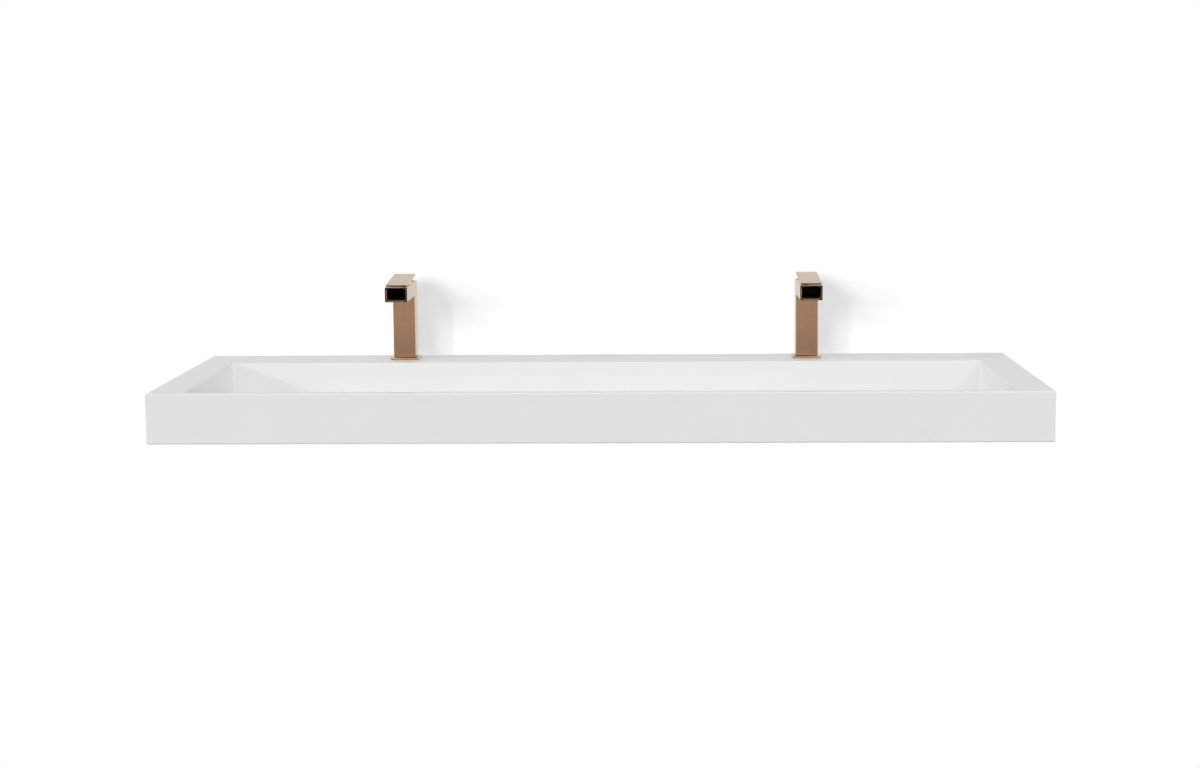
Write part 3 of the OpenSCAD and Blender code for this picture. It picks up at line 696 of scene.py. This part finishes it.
def threaded_rod(name, low, height, radius, depth, pitch, sides=48):
    """A rod with an outside thread of this radius, depth and pitch."""
    rod = start_rod(name, low, height, radius, sides=sides)
    edit(rod)
    pick_edges(rod, upright)
    rings = round(height / pitch * THREAD_RINGS)
    bpy.ops.mesh.subdivide(number_cuts=rings - 1)
    mesh = bmesh.from_edit_mesh(rod.data)
    for vert in mesh.verts:
        turn = math.atan2(vert.co.y - low.y, vert.co.x - low.x) / (2 * math.pi)
        climb = ((vert.co.z - low.z) / pitch - turn) % 1
        reach = 1 - depth / radius * (1 - abs(2 * climb - 1))
        vert.co.x = low.x + (vert.co.x - low.x) * reach
        vert.co.y = low.y + (vert.co.y - low.y) * reach
    bmesh.update_edit_mesh(rod.data)
    close_edit()
    return rod


SHANK_WALL = 0.0025
SHANK_THREAD = 0.0007
SHANK_PITCH = 0.0015
shank_low, shank_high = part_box("left_shank")
shank_r = (shank_high.x - shank_low.x) / 2
shank = threaded_rod("left_mixer_shank", at_z(faucet, shank_low.z),
                     shank_high.z - shank_low.z, shank_r, SHANK_THREAD, SHANK_PITCH)
drill(shank, at_z(faucet, shank_low.z - PAST), shank_high.z - shank_low.z + 2 * PAST,
      shank_r - SHANK_WALL)
smooth(shank, fold=30)

# %% [markdown]
# A turned hexagon nut has its corners taken off by a cone on each end. So the hexagon is
# crossed with a disc whose two rims are bevelled, and only what is in both stays.

# %% Hexagon nuts
NUT_TURN = math.radians(30)  # puts two flats of the hexagon to its front and back
NUT_BEVEL_ANGLE = math.radians(30)
NUT_BEVEL_REACH = 0.98  # how near to the flats' middles the bevel comes, as a share
DISC_SPARE = 1.003  # so that the disc's rim never lies in the hexagon's corners
DISC_SIDES = 94  # not a multiple of six, for the same reason


def hex_nut(name, node, bore_r):
    """A nut in the box of a CAD node, with its six corners chamfered at both ends."""
    low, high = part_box(node)
    place = at_z(middle_of(node), low.z)
    height = high.z - low.z
    corner_r = (high.x - low.x) / 2
    nut = start_rod(name, place, height, corner_r, sides=6)
    edit(nut)
    bpy.ops.mesh.select_all(action="SELECT")
    bpy.ops.transform.rotate(value=NUT_TURN, orient_axis="Z", center_override=place)
    close_edit()
    disc_r = corner_r * DISC_SPARE
    disc = start_rod("disc", place, height, disc_r, sides=DISC_SIDES)
    narrow = disc_r - corner_r * math.cos(NUT_TURN) * NUT_BEVEL_REACH
    edit(disc)
    for up in (-1, 1):
        pick_faces(disc, lambda middle, normal: normal.z * up > FACING)
        bpy.ops.mesh.inset(thickness=narrow)
    for end_z, up in ((low.z, 1), (high.z, -1)):
        pick_edges(disc, lambda a, b: at_height(end_z)(a, b)
                   and min((p.xy - place.xy).length for p in (a, b)) > disc_r - narrow / 2)
        bpy.ops.transform.translate(value=(0, 0, up * narrow * math.tan(NUT_BEVEL_ANGLE)))
    close_edit()
    combine(nut, disc, "INTERSECT")
    drill(nut, place - Vector((0, 0, PAST)), height + 2 * PAST, bore_r, sides=48)
    smooth(nut, fold=20)
    return nut


shank_nut = hex_nut("left_mixer_nut", "left_shank_nut", shank_r + FIT_GAP)

# %% [markdown]
# ## The strainer
#
# A round flange with a soft edge lies level with the basin floor. It has one hole in the
# middle and rings of six and twelve around it, and its threaded body goes down through the
# floor to the nut.

# %% Flange, holes and threaded body
FLANGE_T = 0.0025
FLANGE_EDGE_R = 0.0009
DRAIN_BODY_R = 0.022
DRAIN_WALL = 0.003
DRAIN_NECK_H = 0.008
DRAIN_THREAD = 0.0009
DRAIN_PITCH = 0.0021
TAIL_BORE_R = 0.015425
STRAINER_HOLE_R = 0.0024
STRAINER_PITCH = 0.0066
STRAINER_RIM_R = 0.0004
RINGS_OF_HOLES = 3
HOLES_A_RING = 6  # each ring has this many more than the one inside it
BODY_INTO_FLANGE = 0.37  # the share of the flange that the threaded body goes into
drain = at_z(DRAINS["left"], strainer_low.z)
gasket_z = strainer_high.z - FLANGE_T
strainer = threaded_rod("left_strainer_body", drain,
                        gasket_z - strainer_low.z + FLANGE_T * BODY_INTO_FLANGE,
                        DRAIN_BODY_R, DRAIN_THREAD, DRAIN_PITCH, sides=64)
flange = start_rod("flange", at_z(drain, gasket_z), FLANGE_T, FLANGE_R, sides=128)
round_edges(flange, FLANGE_EDGE_R, 4, at_height(strainer_high.z))
combine(strainer, flange, "UNION")
drill(strainer, at_z(drain, strainer_low.z + DRAIN_NECK_H),
      gasket_z - strainer_low.z - DRAIN_NECK_H, DRAIN_BODY_R - DRAIN_WALL)
drill(strainer, at_z(drain, strainer_low.z - PAST), PAST + 2 * DRAIN_NECK_H, TAIL_BORE_R)
holes = []
for ring in range(RINGS_OF_HOLES):
    count = max(1, HOLES_A_RING * ring)
    for step in range(count):
        turn = 2 * math.pi * step / count
        place = (drain.x + ring * STRAINER_PITCH * math.cos(turn),
                 drain.y + ring * STRAINER_PITCH * math.sin(turn), gasket_z - FLANGE_T)
        holes.append(start_rod("hole", place, 3 * FLANGE_T, STRAINER_HOLE_R, sides=24))
combine(strainer, join(holes, "holes"), "DIFFERENCE")
round_edges(strainer, STRAINER_RIM_R, 2, at_height(strainer_high.z))
smooth(strainer, fold=30)
drain_nut = hex_nut("left_drain_nut_turned", "left_drain_nut", DRAIN_BODY_R + FIT_GAP)

# %% [markdown]
# ## The wall brackets
#
# Each bracket is a flat leg on the wall and a flat arm under the basin, with a tapered flange
# welded along one edge. It is cut from plate, so its edges are only slightly broken, and a
# weld runs in the corner where the flange meets the arm.

# %% Four brackets
BRACKET_T = 0.006
BRACKET_FLANGE_T = 0.005
BRACKET_TIP_H = 0.004
FLANGE_DROP = 0.028
WALL_BOLT_R = 0.0055
WALL_BOLT_Z = 0.045
ARM_HOLE_R = 0.0045
BRACKET_EDGE_R = 0.0005
WELD_R = 0.0025
WELD_END = 0.012
WELD_STEP = 0.0004  # how far the flange stands back from the arm's edge
arm_under_z = floor_under_z - BRACKET_T


def bracket(name, node, flange_side):
    """A leg, an arm and a tapered flange, fused, drilled and softened."""
    low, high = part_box(node)
    piece = start_box(name, (low.x, -BRACKET_T, -high.z), high)
    edit(piece)
    for z in (arm_under_z, floor_under_z):
        slice_all((0, 0, z), (0, 0, 1))
    pick_faces(piece, lambda middle, normal: normal.y < -FACING
               and arm_under_z < middle.z < floor_under_z)
    extrude((0, low.y + BRACKET_T, 0))
    close_edit()
    round_edges(piece, BRACKET_EDGE_R, 2, lambda a, b: True)
    flange_x = high.x - BRACKET_FLANGE_T - WELD_STEP if flange_side > 0 else low.x + WELD_STEP
    web = start_box("web", (flange_x, low.y + WELD_STEP, arm_under_z - FLANGE_DROP),
                    (flange_x + BRACKET_FLANGE_T, -BRACKET_T / 2, arm_under_z + BRACKET_T / 2))
    edit(web)
    fall = (FLANGE_DROP - BRACKET_TIP_H) / (high.y - low.y)
    slice_all((0, low.y, arm_under_z - BRACKET_TIP_H), (0, -fall, -1), use_fill=True,
              clear_outer=True)
    close_edit()
    round_edges(web, BRACKET_EDGE_R, 2, lambda a, b: True)
    combine(piece, web, "UNION")
    inner_x = flange_x if flange_side > 0 else flange_x + BRACKET_FLANGE_T
    weld = start_rod("weld", (inner_x, low.y + WELD_END, arm_under_z),
                     -low.y - WELD_END - BRACKET_T / 2, WELD_R, axis="Y", sides=16)
    combine(piece, weld, "UNION")
    for z in (-WALL_BOLT_Z, WALL_BOLT_Z):
        drill(piece, ((low.x + high.x) / 2, -BRACKET_T - PAST, z), BRACKET_T + 2 * PAST,
              WALL_BOLT_R, axis="Y", sides=48)
    for place in arm_screws(node):
        drill(piece, at_z(place, arm_under_z - PAST), BRACKET_T + 2 * PAST, ARM_HOLE_R, sides=32)
    smooth(piece)
    return piece


brackets = {node: bracket(node + "_welded", node, -1 if "left" in node else 1)
            for node in BRACKETS}

# %% [markdown]
# ## The second mixer and drain
#
# The right side is the left side moved by the distance between the two drains. Each copy gets
# a mesh of its own, because a shared one couldn't have its place applied.

# %% Copy the left side to the right
across = DRAINS["right"] - DRAINS["left"]
LEFT_PIECES = {
    "faucet_body": (body, "rose_gold"),
    "base_plate": (plate, "rose_gold"),
    "bezel_ring": (bezel, "rose_gold"),
    "lever": (lever, "rose_gold"),
    "shank": (shank, "raw_brass"),
    "shank_nut": (shank_nut, "raw_brass"),
    "strainer": (strainer, "rose_gold"),
    "drain_nut": (drain_nut, "raw_brass"),
}
dressed = []  # every new piece with its body, its slot and the CAD node that it stands for
for part, (piece, finish) in LEFT_PIECES.items():
    twin = copy_piece(piece, piece.name.replace("left", "right"), across)
    for side_name, one in (("left", piece), ("right", twin)):
        body_name = f"{side_name}_lever" if part == "lever" else "sink"
        dressed.append((one, body_name, finish, f"{side_name}_{part}"))
dressed.append((trough, "sink", "solid_surface", "trough"))
for node, piece in brackets.items():
    dressed.append((piece, "sink", "bracket_coat", node))
print(len(dressed), "new pieces")

# %% [markdown]
# ## Finishes
#
# Two node groups do what every finish needs. One spreads a value unevenly over a surface, for
# its roughness. The other draws fine parallel marks, as polishing and brushing leave. Each
# material feeds them its own coordinates, scale and range, and keeps its shader outside them.

# %% The shared effects
NOISE_SUM = (0.6, 1.4)  # the sum of two noises is nearly always in this range


def add_node(tree, kind, inputs=None, **settings):
    """Adds a shader node with its settings, its values and its links, and returns its outputs."""
    node = tree.nodes.new("ShaderNode" + kind)
    for setting, value in settings.items():
        setattr(node, setting, value)
    for socket, value in (inputs or {}).items():
        if isinstance(value, bpy.types.NodeSocket):
            tree.links.new(value, node.inputs[socket])
        else:
            node.inputs[socket].default_value = value
    return node.outputs


def new_group(name, inputs, outputs):
    """A node group with these named sockets, and the two ends that hold them inside it."""
    group = bpy.data.node_groups.new(name, "ShaderNodeTree")
    for direction, sockets in (("INPUT", inputs), ("OUTPUT", outputs)):
        for socket, kind in sockets.items():
            group.interface.new_socket(socket, in_out=direction, socket_type="NodeSocket" + kind)
    return (group, group.nodes.new("NodeGroupInput").outputs,
            group.nodes.new("NodeGroupOutput").inputs)


def uneven_group():
    """Broad clouds and fine grain together, mapped to the range from Low to High."""
    group, given, result = new_group(
        "uneven",
        {"Place": "Vector", "Broad": "Float", "Fine": "Float", "Low": "Float", "High": "Float"},
        {"Value": "Float", "Grain": "Float"})
    broad, fine = (
        add_node(group, "TexNoise",
                 {"Vector": given["Place"], "Scale": given[size], "Detail": detail})["Fac"]
        for size, detail in (("Broad", 3), ("Fine", 2)))
    both = add_node(group, "Math", {0: broad, 1: fine}, operation="ADD")
    spread = add_node(group, "MapRange", {
        "Value": both[0], "From Min": NOISE_SUM[0], "From Max": NOISE_SUM[1],
        "To Min": given["Low"], "To Max": given["High"]})
    group.links.new(spread["Result"], result["Value"])
    group.links.new(fine, result["Grain"])
    return group


def marks_group():
    """Fine marks drawn out along one direction, as a height from 0 to 1."""
    group, given, result = new_group(
        "fine_marks", {"Place": "Vector", "Stretch": "Vector", "Scale": "Float"},
        {"Height": "Float"})
    drawn_out = add_node(group, "VectorMath", {0: given["Place"], 1: given["Stretch"]},
                         operation="MULTIPLY")
    marks = add_node(group, "TexNoise", {"Vector": drawn_out["Vector"],
                                         "Scale": given["Scale"], "Detail": 4, "Roughness": 0.7})
    group.links.new(marks["Fac"], result["Height"])
    return group


UNEVEN = uneven_group()
MARKS = marks_group()
print("node groups", [group.name for group in bpy.data.node_groups])

# %% [markdown]
# A finish starts as a Principled shader whose colour varies a little between two close tones,
# whose roughness is uneven, and whose surface has a small bump. The scales are in repeats per
# metre, because Object coordinates are in metres on pieces that sit at the origin. The plated
# metal is grey to diffuse rays, so that it leaves no coloured tint on the white deck around it.

# %% A finish from two tones, a roughness range and a bump
def finish_material(name, tones, rough, broad, fine, bump, metallic=0, stretch=None, specular=0.5,
                    edge=(1, 1, 1)):
    """rough is the range of roughness; bump is its strength and its depth in metres; edge is the
    tint of what a metal mirrors when it is seen edge on."""
    material = bpy.data.materials.new(name)
    material.use_nodes = True
    tree = material.node_tree
    shader = tree.nodes["Principled BSDF"].inputs
    shader["Metallic"].default_value = metallic
    shader["Specular IOR Level"].default_value = specular
    shader["Specular Tint"].default_value = (*edge, 1)
    place = add_node(tree, "TexCoord")["Object"]
    uneven = add_node(tree, "Group", {"Place": place, "Broad": broad, "Fine": fine,
                                      "Low": rough[0], "High": rough[1]}, node_tree=UNEVEN)
    tone = add_node(tree, "MapRange",
                    {"Value": uneven["Value"], "From Min": rough[0], "From Max": rough[1]})
    colour = add_node(tree, "Mix", {"Factor": tone["Result"],
                                    "A": (*tones[0], 1), "B": (*tones[1], 1)}, data_type="RGBA")
    if metallic:
        rays = add_node(tree, "LightPath")
        grey = sum(tones[0]) / 3
        colour = add_node(tree, "Mix", {"Factor": rays["Is Diffuse Ray"], "A": colour["Result"],
                                        "B": (grey, grey, grey, 1)}, data_type="RGBA")
    height = uneven["Grain"]
    if stretch:
        height = add_node(tree, "Group", {"Place": place, "Stretch": stretch, "Scale": fine},
                          node_tree=MARKS)["Height"]
    relief = add_node(tree, "Bump", {"Strength": bump[0], "Distance": bump[1], "Height": height})
    tree.links.new(colour["Result"], shader["Base Color"])
    tree.links.new(uneven["Value"], shader["Roughness"])
    tree.links.new(relief["Normal"], shader["Normal"])
    return material


# %% The finishes
FINISHES = {
    "solid_surface": finish_material(
        "white_solid_surface", ((0.850, 0.858, 0.855), (0.868, 0.876, 0.872)),
        (0.34, 0.46), 9, 900, (0.06, 5e-5), specular=0.4),
    "rose_gold": finish_material(
        "rose_gold_plate", ((0.70, 0.405, 0.245), (0.73, 0.425, 0.262)), (0.13, 0.20), 14, 420,
        (0.05, 4e-5), metallic=1, stretch=(1, 1, 9), edge=(0.72, 0.81, 0.77)),
    # Painted shade: a near-black plate for the narrow front edges of the mouth and the lever
    "edge_painted_shade": finish_material(
        "rose_gold_front_edges_painted_shade", ((0.024, 0.016, 0.011), (0.036, 0.025, 0.018)),
        (0.18, 0.28), 30, 420, (0.05, 4e-5), metallic=1, edge=(0.2, 0.2, 0.2)),
    # Painted shade: a dark tone of the plate under the lever, on a real satin roughness, which
    # keeps the gap over the spout dark
    "under_painted_shade": finish_material(
        "rose_gold_satin_underside", ((0.17, 0.105, 0.070), (0.21, 0.130, 0.088)),
        (0.30, 0.42), 30, 600, (0.08, 5e-5), metallic=1, edge=(0.5, 0.5, 0.5)),
    # Painted shade: a near-black tone for the faces inside the channel and in the groove
    "recess_painted_shade": finish_material(
        "near_black_painted_shade", ((0.028, 0.020, 0.014), (0.045, 0.032, 0.024)),
        (0.42, 0.6), 60, 1400, (0.5, 2e-4)),
    # Painted highlight: a lighter tone of the plate, on a real rougher surface, for the floor strip
    # at the mouth
    "floor_painted_highlight": finish_material(
        "rose_gold_painted_highlight_strip", ((0.74, 0.50, 0.36), (0.84, 0.60, 0.46)),
        (0.42, 0.60), 60, 900, (0.4, 2e-4), metallic=1),
    "raw_brass": finish_material(
        "raw_brass", ((0.60, 0.44, 0.17), (0.70, 0.53, 0.24)),
        (0.22, 0.38), 40, 1500, (0.15, 6e-5), metallic=1, stretch=(1, 1, 12)),
    "steel": finish_material(
        "zinc_plated_steel", ((0.50, 0.51, 0.52), (0.62, 0.63, 0.64)),
        (0.25, 0.42), 60, 1800, (0.15, 6e-5), metallic=1),
    "bracket_coat": finish_material(
        "powder_coat", ((0.62, 0.62, 0.61), (0.68, 0.68, 0.67)),
        (0.42, 0.55), 25, 700, (0.35, 2e-4), specular=0.4),
    "black_rubber": finish_material(
        "black_rubber", ((0.020, 0.020, 0.020), (0.034, 0.034, 0.034)),
        (0.62, 0.8), 70, 1600, (0.4, 1e-4), specular=0.3),
    "cartridge_plastic": finish_material(
        "grey_acetal", ((0.14, 0.155, 0.18), (0.17, 0.185, 0.21)),
        (0.4, 0.52), 60, 1500, (0.2, 8e-5), specular=0.4),
    "washer_plastic": finish_material(
        "white_nylon", ((0.66, 0.65, 0.60), (0.74, 0.73, 0.68)),
        (0.42, 0.55), 60, 1500, (0.2, 8e-5), specular=0.4),
    "valve_ceramic": finish_material(
        "lapped_ceramic", ((0.78, 0.78, 0.74), (0.82, 0.82, 0.78)),
        (0.08, 0.14), 60, 2000, (0.05, 3e-5)),
}
print(len(FINISHES), "finishes")

# %% [markdown]
# Each new piece now gets its finish and goes onto its body, and the CAD node that it stands
# for is hidden. The other CAD nodes keep their shape, and get the finish of their own slot.

# %% Dress the new pieces and the CAD nodes
OTHER_FINISHES = {  # in the order of the numbers that the faces were marked with
    "faucet_body": ("recess_painted_shade", "floor_painted_highlight", "edge_painted_shade"),
    "lever": ("edge_painted_shade", "under_painted_shade"),
}
for piece, body_name, finish, node in dressed:
    piece.data.materials.append(FINISHES[finish])
    for other in OTHER_FINISHES.get(node.partition("_")[2], ()):
        piece.data.materials.append(FINISHES[other])
    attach(piece, body_name)
    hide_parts(node)

CARRIED = {
    "raw_brass": ("cast_inserts", "cartridge_nut", "tailpiece"),
    "steel": ("arm_screws", "arm_washers", "pivot_pin", "stem", "grub_screw", "shank_washer"),
    "black_rubber": ("base_gasket", "cartridge_gasket", "shank_seal", "strainer_gasket",
                     "drain_seal"),
    "cartridge_plastic": ("cartridge_shell", "disc_driver", "stem_carrier"),
    "washer_plastic": ("drain_washer",),
    "valve_ceramic": ("fixed_disc", "moving_disc"),
}
carried = 0
for finish, parts in CARRIED.items():
    for part in parts:
        for node in ([part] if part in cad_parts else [f"left_{part}", f"right_{part}"]):
            for material_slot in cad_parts[node].material_slots:
                material_slot.material = FINISHES[finish]
            carried += 1
print(len(dressed), "CAD nodes replaced and", carried, "dressed, of", len(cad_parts))

# %% [markdown]
# ## The studio
#
# The wall behind the sink and the floor far below it are there only for the camera. They let
# every other ray through, so they don't darken the back of the object in other views, and
# they are clear from behind. The wall is white but for the soft shadows that the mixers and
# the trough throw on it.

# %% Wall and floor
WALL_GAP = 0.0005
WALL_W = 9.0
WALL_H = 3.4
WALL_GLOW = 0.32
FLOOR_Z = -0.80
FLOOR_W = 16.0
FLOOR_PAINT = 0.92
FLOOR_GLOW = 0.12
FLOOR_FADE = (1.2, 4.5)
SIDE_FADE = (0.66, 0.74)
DECK_FADE = (0.084, 0.060)
TOP_FADE = (0.40, 0.55)


def soft_step(tree, value, start, end, low=0, high=1):
    """Goes softly from low at start to high at end."""
    return add_node(tree, "MapRange", {
        "Value": value, "From Min": start, "From Max": end, "To Min": low, "To Max": high},
        interpolation_type="SMOOTHSTEP")["Result"]


def far_away(tree, place):
    """The share of plain white on the floor: all of it far from the sink."""
    reach = add_node(tree, "VectorMath", {0: place}, operation="LENGTH")
    return soft_step(tree, reach["Value"], *FLOOR_FADE)


def off_the_shadows(tree, place):
    """The share of plain white on the wall: all of it but the part above the deck."""
    axes = add_node(tree, "SeparateXYZ", {"Vector": place})
    aside = add_node(tree, "Math", {0: axes["X"]}, operation="ABSOLUTE")
    share = soft_step(tree, aside[0], *SIDE_FADE)
    for fade in (DECK_FADE, TOP_FADE):
        share = add_node(tree, "Math", {0: share, 1: soft_step(tree, axes["Z"], *fade)},
                         operation="MAXIMUM")[0]
    return share


def backdrop_material(name, paint, glow, white_share):
    """Diffuse with a little glow, for the camera alone and from its front alone."""
    material = bpy.data.materials.new(name)
    material.use_nodes = True
    tree = material.node_tree
    tree.nodes.remove(tree.nodes["Principled BSDF"])
    place = add_node(tree, "TexCoord")["Object"]
    painted = add_node(tree, "BsdfDiffuse", {"Color": (paint, paint, paint, 1)})
    light = add_node(tree, "Emission", {"Strength": glow})
    lit = add_node(tree, "AddShader", {0: painted[0], 1: light[0]})
    white = add_node(tree, "Emission")
    blend = add_node(tree, "MixShader", {0: white_share(tree, place), 1: lit[0], 2: white[0]})
    rays = add_node(tree, "LightPath")
    turned = add_node(tree, "NewGeometry")
    front = add_node(tree, "Math", {0: rays["Is Camera Ray"], 1: turned["Backfacing"]},
                     operation="SUBTRACT", use_clamp=True)
    clear = add_node(tree, "BsdfTransparent")
    shown = add_node(tree, "MixShader", {0: front[0], 1: clear[0], 2: blend[0]})
    tree.links.new(shown[0], tree.nodes["Material Output"].inputs["Surface"])
    return material


def start_plane(name, place, width, height, turn=(0, 0, 0)):
    """A plane primitive with its size and its turn applied to its mesh."""
    bpy.ops.mesh.primitive_plane_add(size=1, location=place, rotation=turn)
    piece = bpy.context.object
    piece.name = name
    piece.scale = (width, height, 1)
    bpy.ops.object.transform_apply(location=False, rotation=True, scale=True)
    return piece


wall = start_plane("studio_wall", (0, WALL_GAP, FLOOR_Z + WALL_H / 2), WALL_W, WALL_H,
                   (math.pi / 2, 0, 0))
bpy.ops.object.transform_apply(location=True, rotation=False, scale=False)
floor = start_plane("studio_floor", (0, 0, FLOOR_Z), FLOOR_W, FLOOR_W)
for backdrop, name, paint, glow, white_share in (
        (wall, "studio_wall_white", 1, WALL_GLOW, off_the_shadows),
        (floor, "studio_floor_pale", FLOOR_PAINT, FLOOR_GLOW, far_away)):
    backdrop.data.materials.append(backdrop_material(name, paint, glow, white_share))
    print(name, "faces", tuple(backdrop.data.polygons[0].normal))

# %% [markdown]
# The light on the sink is plain and even. Two broad lamps at its sides and one in front light
# it, and a small one on each side draws the edge of a shadow in the basin's corners. In the
# photograph the mixers' shadows on the wall are deeper than those in the basin. So the wall is
# left out by these lamps, and has three of its own that light nothing else.

# %% The lamps
HARD, MIDDLE, SOFT = math.radians(4), math.radians(16), math.radians(40)
SINK_LAMPS = {
    "left_broad": ((0.94, 0.35, -0.29), 0.42, SOFT),
    "left_low": ((0.94, 0.35, -0.34), 0.78, HARD),
    "right_broad": ((-0.94, 0.35, -0.10), 0.97, SOFT),
    "right_high": ((-0.50, 1.00, -0.60), 0.38, HARD),
    "front": ((0.00, 0.80, -0.60), 0.74, SOFT),
}
WALL_LAMPS = {
    "wall_level": ((0.90, 1.00, -0.19), 0.29, HARD),
    "wall_front": ((0.41, 0.87, -0.26), 0.46, MIDDLE),
    "wall_side": ((0.63, 0.70, -0.34), 0.43, MIDDLE),
}


def hang_lamps(lamps, link_state):
    """Suns that light the wall alone with INCLUDE, or everything else with EXCLUDE."""
    receivers = bpy.data.collections.new("wall_" + link_state.lower() + "d")
    receivers.objects.link(wall)
    receivers.collection_objects[0].light_linking.link_state = link_state
    for name, (travel, strength, angle) in lamps.items():
        lamp_data = bpy.data.lights.new(name, "SUN")
        lamp_data.energy = strength
        lamp_data.angle = angle
        lamp = bpy.data.objects.new(name, lamp_data)
        lamp.rotation_euler = Vector(travel).to_track_quat("-Z", "Y").to_euler()
        lamp.light_linking.receiver_collection = receivers
        bpy.context.scene.collection.objects.link(lamp)


hang_lamps(SINK_LAMPS, "EXCLUDE")
hang_lamps(WALL_LAMPS, "INCLUDE")
print("lamps", list(SINK_LAMPS), "and for the wall", list(WALL_LAMPS))

# %% [markdown]
# The world is white to the camera and a level grey to diffuse surfaces. Polished metal sees a
# white room behind the sink and a darker one in front of it, which is what gives the fronts of
# the mixers their brown tone.

# %% The world
AMBIENT = 0.355
DARK_ROOM = 0.48
BRIGHT_ROOM = 1.0
ROOM_FADE = (-0.7, 0.5)  # where the room turns bright, from in front of the sink to behind it
world = bpy.data.worlds.new("studio_world")
world.use_nodes = True
bpy.context.scene.world = world
tree = world.node_tree
looking = add_node(tree, "TexCoord")
axes = add_node(tree, "SeparateXYZ", {"Vector": looking["Generated"]})
room = soft_step(tree, axes["Y"], *ROOM_FADE, DARK_ROOM, BRIGHT_ROOM)
rays = add_node(tree, "LightPath")
bounced = add_node(tree, "Mix", {"Factor": rays["Is Glossy Ray"], "A": AMBIENT, "B": room})
seen = add_node(tree, "Mix", {"Factor": rays["Is Camera Ray"], "A": bounced["Result"], "B": 1.0})
background = tree.nodes["Background"].inputs
background["Color"].default_value = (1, 1, 1, 1)
tree.links.new(seen["Result"], background["Strength"])
world.cycles.sampling_method = "NONE"
bpy.context.scene.view_settings.view_transform = "Standard"
print("world ready")
